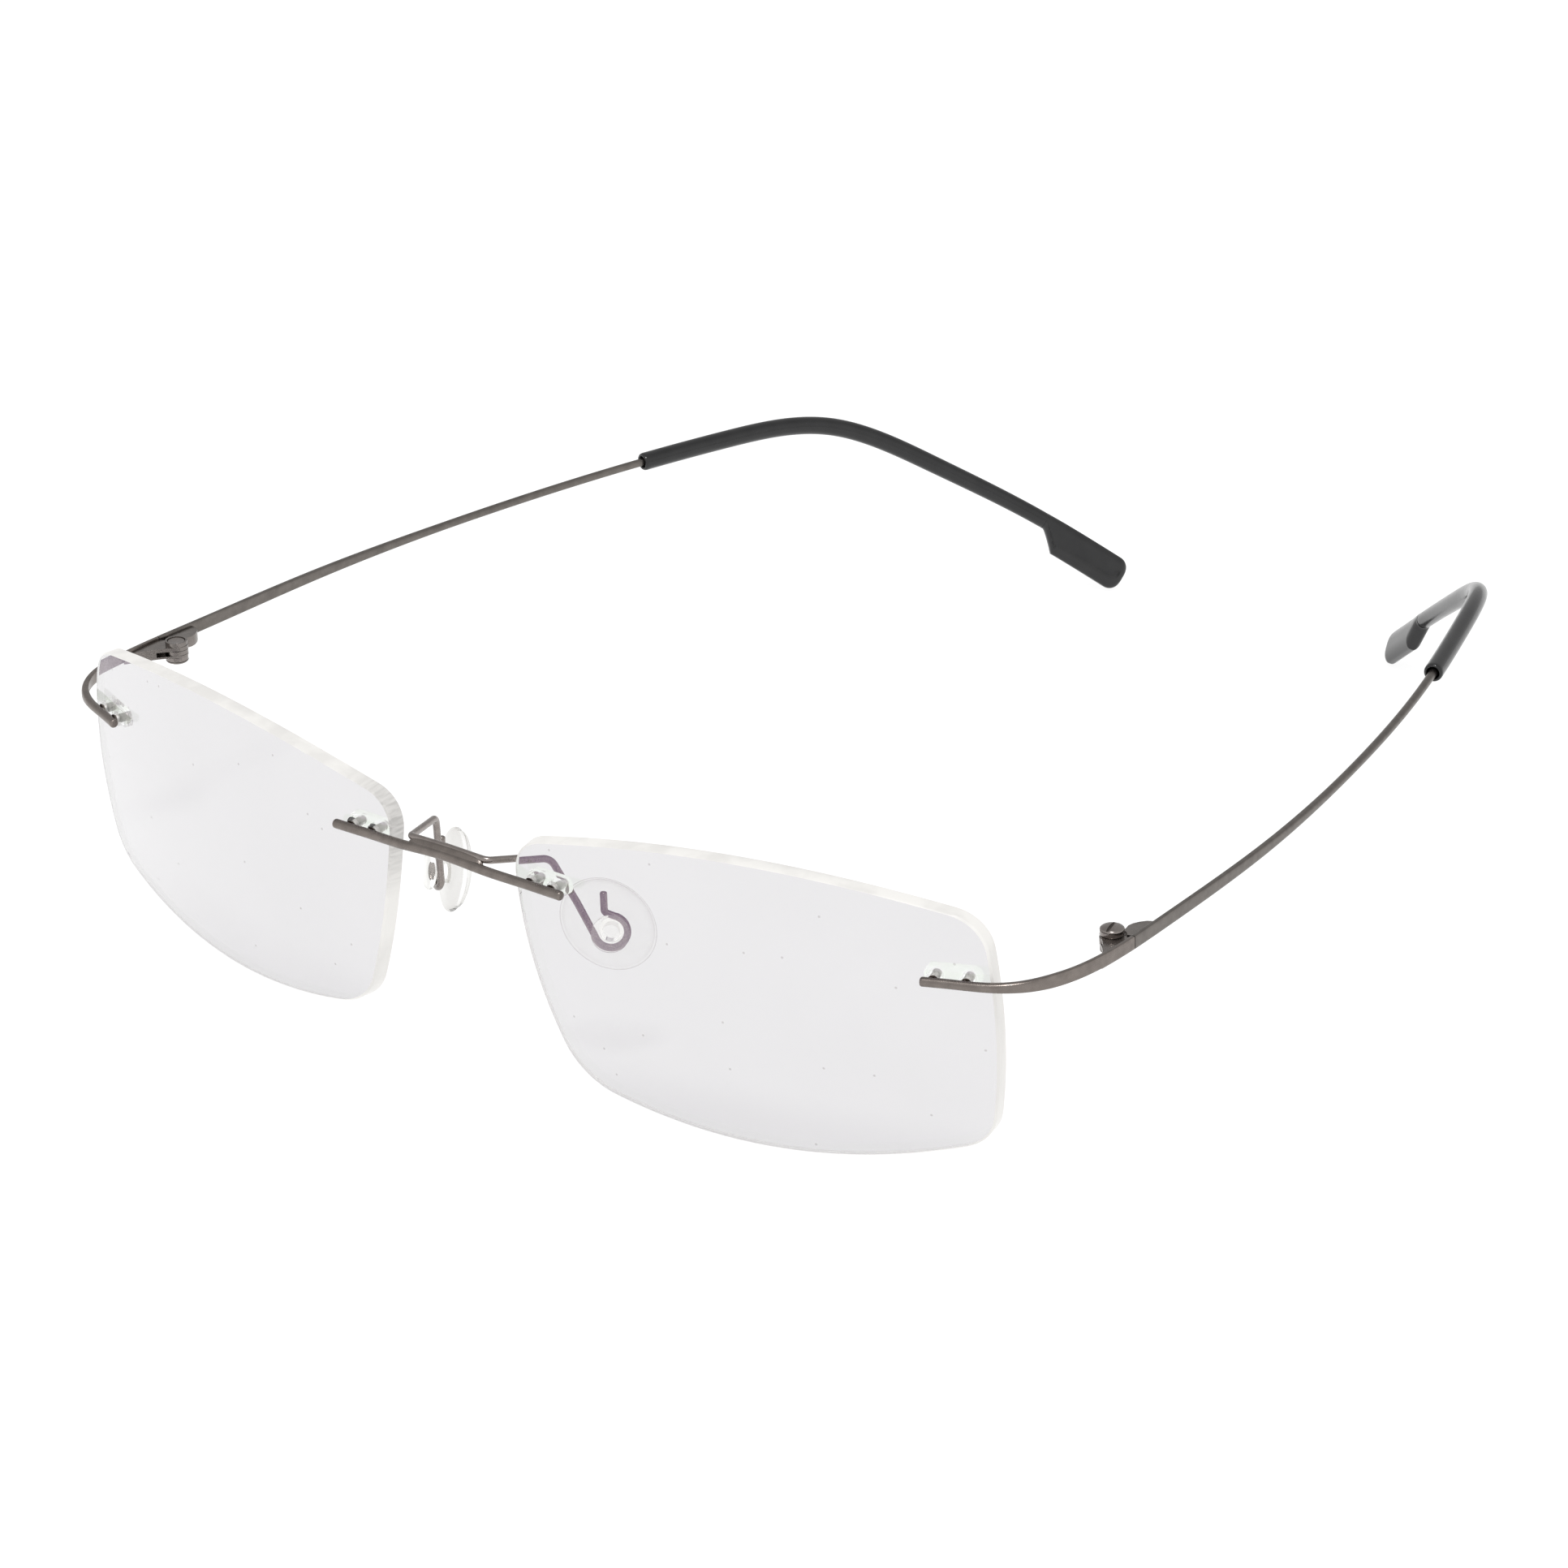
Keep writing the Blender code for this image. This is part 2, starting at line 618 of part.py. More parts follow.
def tip_solid():
    """Ear tip: outside from its end to its mouth, then the bore from the mouth inwards."""
    line = temple_line(5)
    outer = between(line, MOUTH_Y, line[-1, 1])[::-1]
    run = np.concatenate([[0.0], np.cumsum(np.linalg.norm(np.diff(outer, axis=0), axis=1))])
    extra = [0.12, 0.4, PADDLE_ROUND, 5.0, PADDLE_LENGTH - PADDLE_SHOULDER, PADDLE_LENGTH - 0.55]
    extra += [PADDLE_LENGTH, run[-1] - 0.35]
    spots = [0.0] + sorted(extra + [s for s in run if s > PADDLE_LENGTH + 1 and s < run[-1] - 1])
    spots.append(run[-1])
    path = np.stack([np.interp(spots, run, outer[:, k]) for k in range(3)], axis=1)
    sections = [paddle_section(max(s, 0.04), 16) for s in spots]
    sections[-1] = oval(TIP_RADIUS - 0.22, TIP_RADIUS - 0.22, 2, 16)
    rings = guided_rings(path, PADDLE_SIDE, sections)
    bore = between(line, MOUTH_Y, CORE_END_Y + 1.5)
    depth = np.concatenate([[0.0], np.cumsum(np.linalg.norm(np.diff(bore, axis=0), axis=1))])
    spots = [0.0, TIP_COUNTERBORE, TIP_COUNTERBORE + 0.4] + [s for s in depth if s > TIP_COUNTERBORE + 1]
    path = np.stack([np.interp(spots, depth, bore[:, k]) for k in range(3)], axis=1)
    radii = [TIP_MOUTH_BORE] * 2 + [TIP_BORE] * (len(spots) - 2)
    inner = guided_rings(path[::-1], PADDLE_SIDE, [oval(r, r, 2, 16) for r in radii[::-1]])[::-1]
    return mesh_from_rings(rings + inner)


# ---- hinges ----------------------------------------------------------------------------------------

def arc(radius, start, end, steps):
    """Arc about the hinge axis, in degrees from +X."""
    angles = np.radians(np.linspace(start, end, steps))
    return [(HINGE[0] + radius * math.cos(a), HINGE[1] + radius * math.sin(a)) for a in angles]


def beside_band(y):
    """Point just inside the band, where a hinge half is soldered to it."""
    line = temple_line(6)
    x = np.interp(y, line[:, 1], line[:, 0])
    return x - BAND_THICK / 2 - HINGE_GAP, y


def hinge_disc(radius, face_a, face_b):
    """Cylinder on the hinge axis between two levels."""
    disc = lathe([(radius, level) for level in sorted((face_a, face_b))], 18)
    bmesh.ops.translate(disc, vec=(HINGE[0], HINGE[1], 0), verts=disc.verts)
    return disc


def slot_levels(middle, flip, half_height):
    """Bottom and top of the fork's slot, or of the tongue in it: both lie nearer the screw's head."""
    centre = middle + flip * SLOT_OFFSET
    return centre - half_height, centre + half_height


def hinge_front_solid(flip):
    """Forked half: a wedge on the end piece with two knuckles, a slot between them and a screw hole."""
    middle = HINGE[2] - flip * HINGE_DROP
    heel = beside_band(FRONT_HALF_Y)
    outline = [heel, beside_band(SLOT_START_Y), beside_band(SEAM_Y - SEAM_GAP)]
    outline += arc(KNUCKLE_RADIUS, 18, 205, 12)
    outline += list(FRONT_HALF_SIDE) + [(heel[0] - FRONT_HALF_TOE, heel[1])]
    body = prism(outline, middle - HINGE_HALF_HEIGHT, middle + HINGE_HALF_HEIGHT)
    boss_face = middle - flip * (HINGE_HALF_HEIGHT + BOSS_HEIGHT)
    body = boolean(body, hinge_disc(BOSS_RADIUS, boss_face, middle - flip * SLOT_HALF_HEIGHT), "UNION")
    slot = [(HINGE[0] + x, y) for x, y in ((-3, SLOT_START_Y), (3, SLOT_START_Y), (3, 30), (-3, 30))]
    body = boolean(body, prism(slot, *slot_levels(middle, flip, SLOT_HALF_HEIGHT)), "DIFFERENCE")
    body = boolean(body, hinge_disc(SCREW_HOLE, middle - 3, middle + 3), "DIFFERENCE")
    recess_floor = boss_face + flip * (PEEN_SINK + PEEN_THICK)
    return boolean(body, hinge_disc(PEEN_RADIUS + HINGE_GAP, boss_face - flip, recess_floor), "DIFFERENCE")


def hinge_temple_solid(flip):
    """Temple half: a block on the band with the middle knuckle reaching into the fork."""
    middle = HINGE[2] - flip * HINGE_DROP
    block = [beside_band(y) for y in REAR_HALF_Y] + list(REAR_HALF_LUMP)
    block += arc(KNUCKLE_RADIUS + REAR_HALF_CLEARANCE, 75, 28, 5)
    body = prism(block, middle - HINGE_HALF_HEIGHT, middle + HINGE_HALF_HEIGHT)
    tongue = arc(KNUCKLE_RADIUS, 140, 375, 14) + list(TONGUE_NECK)
    tongue = prism(tongue, *slot_levels(middle, flip, TONGUE_HALF_HEIGHT))
    body = boolean(body, tongue, "UNION")
    return boolean(body, hinge_disc(SCREW_HOLE, middle - 3, middle + 3), "DIFFERENCE")


def hinge_screw_solid(flip):
    """Screw along the hinge axis, with a slotted dome at one end and a peened disc at the other."""
    seat = HINGE_HALF_HEIGHT + HINGE_GAP
    end = PEEN_SINK - HINGE_HALF_HEIGHT - BOSS_HEIGHT
    floor = end + PEEN_THICK - HINGE_GAP
    rim = seat + SCREW_HEAD_SIDE
    profile = [(PEEN_RADIUS, end), (PEEN_RADIUS, floor), (SCREW_RADIUS, floor), (SCREW_RADIUS, seat),
               (SCREW_HEAD, seat), (SCREW_HEAD, rim)]
    for angle in np.radians((25, 50, 75)):
        profile.append((SCREW_HEAD * math.cos(angle), rim + SCREW_HEAD_DOME * math.sin(angle)))
    body = lathe(profile, 16)
    top = rim + SCREW_HEAD_DOME
    slot = [(-2, -SCREW_SLOT / 2), (2, -SCREW_SLOT / 2), (2, SCREW_SLOT / 2), (-2, SCREW_SLOT / 2)]
    body = boolean(body, prism(slot, top - SCREW_SLOT_DEPTH, top + 1), "DIFFERENCE")
    turn = Matrix.Rotation(SCREW_TURN, 4, "Z")
    if flip < 0:
        turn = Matrix.Rotation(math.pi, 4, "X") @ turn
    centre = Matrix.Translation(Vector(HINGE) - Vector((0, 0, flip * HINGE_DROP)))
    bmesh.ops.transform(body, matrix=centre @ turn, verts=body.verts)
    return body


# ---- nose pads -------------------------------------------------------------------------------------

def pad_solid():
    """Silicone pad: an oval cushion, thin at its rim, with a round socket in its back."""
    centre, cross_way, long_way, normal = loop_frame()
    angles = (np.arange(20) + 0.5) * 2 * math.pi / 20
    circle = np.stack([np.cos(angles), np.sin(angles)], axis=1)
    turn = np.array([[math.cos(PAD_TURN), -math.sin(PAD_TURN)], [math.sin(PAD_TURN), math.cos(PAD_TURN)]])
    oval_rim = circle * (PAD_HALF_WIDTH, PAD_HALF_LENGTH) @ turn
    middle = np.array(PAD_OFFSET)
    socket = circle * SOCKET_RADIUS
    levels = [(socket, PAD_BACK + SOCKET_DEPTH), (socket, PAD_BACK)]
    for share, depth in ((0.62, PAD_BACK + 0.14), (0.93, PAD_EDGE - 0.22), (1.0, PAD_EDGE),
                         (0.95, PAD_EDGE + 0.38), (0.76, PAD_FRONT - 0.5), (0.45, PAD_FRONT - 0.13)):
        levels.append((middle + oval_rim * share, depth))
    rings = [[centre + cross_way * x + long_way * y + normal * depth for x, y in flat]
             for flat, depth in levels]
    return mesh_from_rings(rings)


def button_solid():
    """Pad's hard insert: a foot in the pad's socket, a stem through the loop and a round button."""
    centre, cross_way, long_way, normal = loop_frame()
    foot_near, foot_far = PAD_BACK + 0.05, PAD_BACK + SOCKET_DEPTH - 0.05
    profile = [(BUTTON_RADIUS - 0.3, -BUTTON_FAR), (BUTTON_RADIUS, -BUTTON_FAR + 0.2),
               (BUTTON_RADIUS, -BUTTON_NEAR), (STEM_RADIUS, -BUTTON_NEAR), (STEM_RADIUS, foot_near),
               (FOOT_RADIUS, foot_near), (FOOT_RADIUS, foot_far)]
    return placed(lathe(profile, 16), centre, cross_way, np.cross(normal, cross_way), normal)


# ---- assembly --------------------------------------------------------------------------------------

def build_front(materials):
    """Everything that stays still: the lenses, the wire that joins them, and the hinges' front halves."""
    metal = materials["metal"]
    bridge = mesh_from_rings(round_bar(bridge_path(), BAR_RADIUS, 12))
    add_part("bridge_bar", bridge, metal, 1, BRIDGE_CREST[0])
    add_part("pad_arm_wire", mesh_from_rings(rolling_rings(arm_path(), ARM_RADIUS, 8)), metal, 1,
             BRIDGE_CREST[0])
    for name, side in SIDES:
        add_part(f"lens_{name}", lens_solid(), materials["clear"], side, LENS_CENTRE)
        for place, mount, bar in MOUNTS:
            middle = mount_frame(mount)[0]
            add_part(f"lens_sleeve_{place}_{name}", sleeve_solid(mount), materials["clear"], side, middle)
            for end in (0, 1):
                part = f"lens_post_{place}_{name}_{end + 1}"
                add_part(part, post_solid(mount, end, bar), metal, side, mount_holes(mount)[end])
        add_part(f"end_piece_{name}", end_piece_solid(), metal, side, bar_point(OUTER_MOUNT, 0))
        add_part(f"hinge_front_{name}", hinge_front_solid(side), metal, side, HINGE)
        add_part(f"hinge_screw_{name}", hinge_screw_solid(side), materials["screw"], side, HINGE)


def build_temples(materials):
    for name, side in SIDES:
        pivot = add_pivot(f"temple_{name}_pivot", HINGE, side)
        add_part(f"temple_{name}", temple_solid(), materials["metal"], side, HINGE, pivot)
        add_part(f"hinge_temple_{name}", hinge_temple_solid(side), materials["metal"], side, HINGE, pivot)
        add_part(f"temple_tip_{name}", tip_solid(), materials["black"], side, HINGE, pivot)


def build_nose_pads(materials):
    for name, side in SIDES:
        pivot = add_pivot(f"nose_pad_{name}_pivot", LOOP_CENTRE, side)
        add_part(f"nose_pad_{name}", pad_solid(), materials["silicone"], side, LOOP_CENTRE, pivot)
        add_part(f"pad_button_{name}", button_solid(), materials["clear"], side, LOOP_CENTRE, pivot)


def main():
    for obj in list(bpy.data.objects):
        bpy.data.objects.remove(obj, do_unlink=True)
    materials = {
        "metal": make_material("gunmetal_wire", METAL, 0.34, 1.0),
        "screw": make_material("gunmetal_screw", SCREW_METAL, 0.25, 1.0),
        "black": make_material("black_ear_tip", BLACK, 0.3, 0.0),
        "clear": make_material("clear_lens", CLEAR, 0.05, 0.0, 1.0),
        "silicone": make_material("clear_silicone", SILICONE, 0.25, 0.0, 0.9),
    }
    build_front(materials)
    build_temples(materials)
    build_nose_pads(materials)


main()
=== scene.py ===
"""Looks of the rimless eyeglasses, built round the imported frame.

Lengths are in millimetres and become metres in add_piece. Everything is drawn on the +X side (side = 1)
and mirrored for the -X side (side = -1), in the same frame as the CAD.
"""

import math

import bmesh
import bpy
import numpy as np
from mathutils import Matrix, Vector


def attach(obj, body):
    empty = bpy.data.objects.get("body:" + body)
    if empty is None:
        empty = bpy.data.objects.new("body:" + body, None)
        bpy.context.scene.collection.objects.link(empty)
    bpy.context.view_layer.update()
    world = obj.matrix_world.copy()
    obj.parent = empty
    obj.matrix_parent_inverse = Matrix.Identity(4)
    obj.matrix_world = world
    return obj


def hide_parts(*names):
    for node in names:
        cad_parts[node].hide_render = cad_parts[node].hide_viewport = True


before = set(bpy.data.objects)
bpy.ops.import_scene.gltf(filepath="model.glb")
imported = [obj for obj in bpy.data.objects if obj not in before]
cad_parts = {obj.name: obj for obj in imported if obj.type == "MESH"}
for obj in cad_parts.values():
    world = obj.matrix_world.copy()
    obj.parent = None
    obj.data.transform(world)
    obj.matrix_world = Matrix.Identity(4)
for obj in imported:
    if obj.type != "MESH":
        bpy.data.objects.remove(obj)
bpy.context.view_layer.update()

MM = 0.001
SIDES = (("right", 1), ("left", -1))
REST_PITCH = math.radians(0.1925)
REST_SHIFT = (0.0, -72.342, -0.008)

# How far a cutting tool runs past what it cuts, and the angle from which an edge stays sharp.
CUT_PAST = 3.0
CREASE = math.radians(35)

# Points round a lathed or swept section.
ARM_POINTS = 28
POST_POINTS = 32
SLEEVE_POINTS = 36
ROUND_POINTS = 40
TIP_POINTS = 48
BUTTON_POINTS = 48
SCREW_POINTS = 56
PAD_POINTS = 72

# Lenses: a meniscus cut to a bowed four-cornered outline, turned by the wrap and tipped by the tilt. Each
# side bows out by its LENS_BOWS, each corner's curve takes LENS_CUTS off both sides, and LENS_LEVELS are the
# rings on a face, as shares of the outline.
LENS_CENTRE = (35.17, 3.07, 18.29)
LENS_WRAP = math.radians(11.5)
LENS_TILT = math.radians(2.5)
LENS_RADIUS = 108.0
LENS_THICK = 1.8
LENS_BEVEL = 0.18
LENS_REACH = 22.0
LENS_CORNERS = ((-27.0, 9.2), (25.0, 10.4), (25.2, -13.9), (-20.3, -15.8))
LENS_BOWS = (3.5, 1.3, 3.5, 1.5)
LENS_CUTS = (3.4, 3.3, 2.8, 4.0)
LENS_ROUNDING = 0.62
LENS_LEVELS = (0.12, 0.25, 0.38, 0.5, 0.6, 0.7, 0.78, 0.85, 0.91, 0.96)

# Material slots of the lens, after the front glass. Glass leans less from the lens axis than this cosine,
# a hole's wall lies within this many hole radii of its axis, and a glass corner is this near its sphere.
RIM_SLOT, WALL_SLOT, BACK_SLOT = 1, 2, 3
FACE_LEAN = 0.85
WALL_REACH = 1.5
ON_SPHERE = 0.02

# Mounts: each lens has two pairs of holes, given by the pair's middle on the lens and half its spacing.
NOSE_MOUNT = (-23.2, 5.61, 1.4)
OUTER_MOUNT = (21.9, 4.16, 1.65)
HOLE_RADIUS = 0.84
SLEEVE_RADIUS = 0.78
SLEEVE_START = 0.05
FLANGE_RADIUS = 1.0
FLANGE_REACH = 0.25
FLANGE_THICK = 0.6
FLANGE_GAP = 0.1
POST_RADIUS = 0.42
POST_RIB = 0.06
POST_BORE = POST_RADIUS + POST_RIB + 0.01
POST_END = 2.75

# A post's outline: its collar, by height from the wire, and one rib, by its share of the pitch. Both give
# first how much wider they are than the post.
POST_COLLAR = ((0.16, -0.12), (0.1, 0.04), (0.0, 0.14))
RIB_OUTLINE = ((-0.02, 0.0), (POST_RIB - 0.01, 0.4), (POST_RIB - 0.01, 0.55), (-0.02, 0.95))
RIB_PITCH = 0.24
FIRST_RIB = 0.2

# Wire. The dome at a wire's end is drawn at these angles up from its foot, and is half a radius deep.
DOME_ANGLES = (80, 60, 40, 20)
DOME_DEPTH = 0.5
BAR_RADIUS = 0.5
END_BAR_RADIUS = 0.49
BAR_STANDOFF = 0.78
BAR_GAP = 0.03
ARM_RADIUS = 0.375
BAND_HEIGHT = 1.42
BAND_THICK = 0.52
CORE_RADIUS = 0.455
MOUNTS = (("nose", NOSE_MOUNT, BAR_RADIUS), ("outer", OUTER_MOUNT, END_BAR_RADIUS))

# Bridge bar, from the middle to the lens mount.
BRIDGE_CREST = ((0.0, -0.55, 24.65), (2.4, -0.55, 24.58), (5.5, -0.45, 24.35))
BRIDGE_ON_LENS = (-1.8, 0.4, 3.0)
BRIDGE_STEPS = (3, 3, 4, 4, 4, 4, 4, 4, 3, 3)

# Solder between the pad-arm wire and the bridge bar.
FILLET_REACH = 4.9
FILLET_HALF_HEIGHT = 0.52
FILLET_HALF_THICK = 0.43
FILLET_RINGS = 61

# Pad arms: one wire that runs along the back of the bridge and ends in a loop round each pad's stem.
ARM_BEHIND_BRIDGE = 0.62
ARM_ABOVE_BRIDGE = 0.72
ARM_ON_BRIDGE = (5.1, 0.35, 25.1)
ARM_KNEE = (8.05, 7.5, 23.72)
ARM_SHIN = (9.62, 9.4, 18.6)
LOOP_CENTRE = (11.96, 11.76, 15.0)
LOOP_RADIUS = 1.65
LOOP_ANGLES = (180, 421, 6)
LOOP_TAIL = ((0.0, -2.1), (0.6, -4.05))
LOOP_TAIL_BEND = 0.5
LOOP_TAIL_DIP = 0.3
ARM_BENDS = (0.9, 1.7, 3.0)
PAD_NORMAL = (-0.57, 0.804, -0.168)
PAD_LONG = (0.283, 0.13, -0.956)
PAD_TURN = math.radians(29)

# Nose pads, measured along the pad's normal from the middle of the loop. As shares of the pad's outline,
# the back is dished from PAD_FLAT on, the lip starts at PAD_LIP and the crown would end at PAD_CROWN.
PAD_HALF_LENGTH = 5.35
PAD_HALF_WIDTH = 4.3
PAD_OFFSET = (-0.25, -0.5)
PAD_BACK = 0.72
PAD_EDGE = 1.35
PAD_FRONT = 2.85
PAD_FLAT = 0.5
PAD_LIP = 0.94
PAD_LIP_RISE = 0.4
PAD_SHOULDER = PAD_EDGE + 0.36
PAD_CROWN = 0.97
SOCKET_RADIUS = 1.3
SOCKET_DEPTH = 0.5
SOCKET_EASE = 0.05
SOCKET_LIP = 1.36
STEM_RADIUS = 0.85
FOOT_RADIUS = 1.2
BUTTON_RADIUS = 1.72
BUTTON_RIM = 1.93
BUTTON_NEAR = 0.6
BUTTON_FAR = 1.28

# Temple line: points of the wire's centre from the outer mount to the end of the ear tip.
TEMPLE_LINE = (
    (62.6, 12.2, 22.62), (64.5, 15.4, 22.65), (65.6, 21.5, 22.6), (65.42, 31.7, 22.6),
    (64.21, 51.4, 22.9), (61.02, 72.5, 23.3), (56.27, 92.5, 23.7), (50.94, 108.8, 24.0),
    (45.3, 121.4, 22.8), (37.1, 130.4, 17.0), (28.4, 138.3, 10.1), (19.2, 145.15, 2.5),
)
END_BAR_ON_LENS = (-2.6, 0.4, 3.7)
SEAM_Y = 26.65
SEAM_GAP = 0.1
FLAT_START_Y = 9.5
FLAT_END_Y = 16.0
BAND_END_Y = 30.0
ROUND_AGAIN_Y = 72.0
MOUTH_Y = 97.4
CORE_END_Y = 112.0
SEAM_KEEP_OFF = 0.3

# Ear tips.
TIP_RADIUS = 1.05
TIP_NECK = 0.96
TIP_TAPER = 22.0
TIP_MOUTH_BORE = 0.68
TIP_BORE = 0.55
TIP_BORE_PAST_CORE = 1.5
TIP_COUNTERBORE = 4.0
TIP_STEP = 0.3
TIP_FINE_STEP = 0.1
PADDLE_LENGTH = 11.5
PADDLE_SHOULDER = 2.3
PADDLE_WIDTH = 4.1
PADDLE_THICK = 1.95
PADDLE_ROUND = 1.4
PADDLE_ROUND_THICK = 0.65
PADDLE_CHAMFER = 0.35
PADDLE_SIDE = (0.195, -0.697, -0.693)

# How the tube's mouth is rolled in: distance from the mouth, and how much narrower the tube is there.
MOUTH_ROLL = ((0.25, 0.02), (0.12, 0.06), (0.04, 0.13), (0.0, 0.24))

# Hinges: a forked half on the end piece, a single knuckle on the temple, and a screw through both. The
# screw's head is on top at +X and underneath at -X; its other end is peened over inside a raised boss.
HINGE = (63.0, 26.9, 22.24)
HINGE_DROP = 0.16
KNUCKLE_RADIUS = 1.28
HINGE_HALF_HEIGHT = 0.6
SLOT_OFFSET = 0.1
SLOT_HALF_HEIGHT = 0.28
TONGUE_HALF_HEIGHT = 0.24
SLOT_START_Y = 24.4
FRONT_HALF_Y = 21.95
FRONT_HALF_ARC = (18, 205, 30)
FRONT_HALF_SIDE = ((63.1, 25.1), (63.75, 24.3), (64.45, 23.3))
FRONT_HALF_TOE = 0.12
REAR_HALF_Y = (27.9, 30.0, 31.7)
REAR_HALF_LUMP = ((64.5, 31.6), (64.05, 31.35), (63.6, 30.8), (63.25, 30.1), (63.15, 29.4), (63.3, 28.9))
REAR_HALF_ARC = (75, 28, 12)
REAR_HALF_CLEARANCE = 0.2
TONGUE_ARC = (140, 375, 30)
TONGUE_NECK = ((64.7, 28.2), (63.95, 28.6))
SCREW_RADIUS = 0.5
SCREW_HOLE = 0.56
SCREW_HEAD = 1.25
SCREW_HEAD_SIDE = 0.55
SCREW_HEAD_DOME = 0.42
SCREW_SLOT = 0.36
SCREW_SLOT_DEPTH = 0.28
SCREW_TURN = math.radians(103)
BOSS_RADIUS = 1.23
BOSS_HEIGHT = 0.48
PEEN_RADIUS = 0.98
PEEN_THICK = 0.24
PEEN_SINK = 0.1
HINGE_GAP = 0.03
HINGE_EDGE = 0.07

# Materials, in metres: the place of the painted dark streaky reflection on the -X lens's rim and how far it
# reaches, dust cells and the size of a speck as a share of a cell, and the depth of a metal's or rubber's
# grain.
RIM_DARK_REFLECTION = (-0.0096, -0.0702, 0.0243)
RIM_DARK_REFLECTION_REACH = (0.0018, 0.0055)
DUST_PER_METRE = 110.0
DUST_SPECK = (0.011, 0.017)
GRAIN_DEPTH = 0.00001
WHITE = (1.0, 1.0, 1.0)

# Stage, in metres and watts: the floor, where the light tent is dimmest, and the softbox.
FLOOR_HALF_SIZE = 3.0
FLOOR_DROP = 0.0001
DIM_DIRECTION = (-0.35, 0.6, 0.72)
KEY_PLACE = (0.22, -0.30, 0.95)
KEY_SIZE = 0.22
KEY_POWER = 4.0

# Camera, in millimetres in the wearer's frame.
CAMERA_PLACE = (376.26, -412.21, 280.65)
CAMERA_RIGHT = (0.78478, 0.61933, -0.02343)
CAMERA_UP = (-0.23634, 0.33400, 0.91246)
CAMERA_BACK = (0.57294, -0.71055, 0.40849)
CAMERA_LENS = 139.84


def vec(point):
    return np.array(point, dtype=float)


def unit(v):
    return v / np.linalg.norm(v)


def run_along(path):
    """Distance of each point of the path from its start."""
    return np.concatenate([[0.0], np.cumsum(np.linalg.norm(np.diff(path, axis=0), axis=1))])


def spline(points, per_span):
    """Natural cubic curve through the points, with the given number of steps in each span."""
    pts = np.array(points, dtype=float)
    gaps = np.diff(run_along(pts))
    count = len(pts)
    system = np.eye(count)
    right = np.zeros_like(pts)
    for i in range(1, count - 1):
        system[i, i - 1:i + 2] = gaps[i - 1], 2 * (gaps[i - 1] + gaps[i]), gaps[i]
        right[i] = 6 * ((pts[i + 1] - pts[i]) / gaps[i] - (pts[i] - pts[i - 1]) / gaps[i - 1])
    bend = np.linalg.solve(system, right)
    curve = []
    for i, (gap, steps) in enumerate(zip(gaps, per_span)):
        for t in np.arange(steps) / steps:
            a, b = (1 - t) * gap, t * gap
            curve.append((bend[i] * a ** 3 + bend[i + 1] * b ** 3) / (6 * gap)
                         + (pts[i] / gap - bend[i] * gap / 6) * a
                         + (pts[i + 1] / gap - bend[i + 1] * gap / 6) * b)
    curve.append(pts[-1])
    return np.array(curve)


def rounded_path(corners, radii, steps):
    """Straight wire through the corners, with an arc of the given radius at each inner corner."""
    pts = [vec(c) for c in corners]
    path = [pts[0]]
    for before, corner, after, radius in zip(pts, pts[1:], pts[2:], radii):
        back, ahead = unit(before - corner), unit(after - corner)
        half = math.acos(float(np.clip(back @ ahead, -1, 1))) / 2
        middle = corner + unit(back + ahead) * radius / math.sin(half)
        start = corner + back * radius / math.tan(half)
        end = corner + ahead * radius / math.tan(half)
        across = start - middle
        along = unit(end - start - across * ((end - start) @ across) / radius ** 2) * radius
        for angle in np.linspace(0, math.pi - 2 * half, steps + 1):
            path.append(middle + across * math.cos(angle) + along * math.sin(angle))
    path.append(pts[-1])
    return np.array(path)


def tangents(path):
    """Direction of the path at each of its points."""
    legs = np.diff(path, axis=0)
    legs /= np.linalg.norm(legs, axis=1)[:, None]
    inner = legs[:-1] + legs[1:]
    inner /= np.linalg.norm(inner, axis=1)[:, None]
    return np.vstack([legs[:1], inner, legs[-1:]])


def oval(half_width, half_height, power, count):
    """Section outline: power 2 is an ellipse, and a higher power is a squarer bar."""
    angles = (np.arange(count) + 0.5) * 2 * math.pi / count
    c, s = np.cos(angles), np.sin(angles)
    reach = (np.abs(c) ** power + np.abs(s) ** power) ** (-1 / power)
    return np.stack([half_width * c * reach, half_height * s * reach], axis=1)


def disc(radius, count):
    return oval(radius, radius, 2, count)


def ring_at(point, axis_a, axis_b, section):
    """Section outline set at a point, across the two axes."""
    return point + section[:, :1] * axis_a + section[:, 1:] * axis_b


def guided_rings(path, guide, sections):
    """Sections set across the path: their second axis leans to the guide direction."""
    rings = []
    for point, along, section in zip(path, tangents(path), sections):
        axis_b = unit(vec(guide) - along * (along @ vec(guide)))
        rings.append(ring_at(point, np.cross(along, axis_b), axis_b, section))
    return rings


def rolling_rings(path, radii, count):
    """Round wire along the path, with its seam carried along so that it never twists."""
    along = tangents(path)
    axis_b = unit(np.cross(along[0], (0.0, 0.0, 1.0)))
    rings = []
    for point, direction, radius in zip(path, along, radii):
        axis_b = unit(axis_b - direction * (direction @ axis_b))
        rings.append(ring_at(point, np.cross(direction, axis_b), axis_b, disc(radius, count)))
    return rings


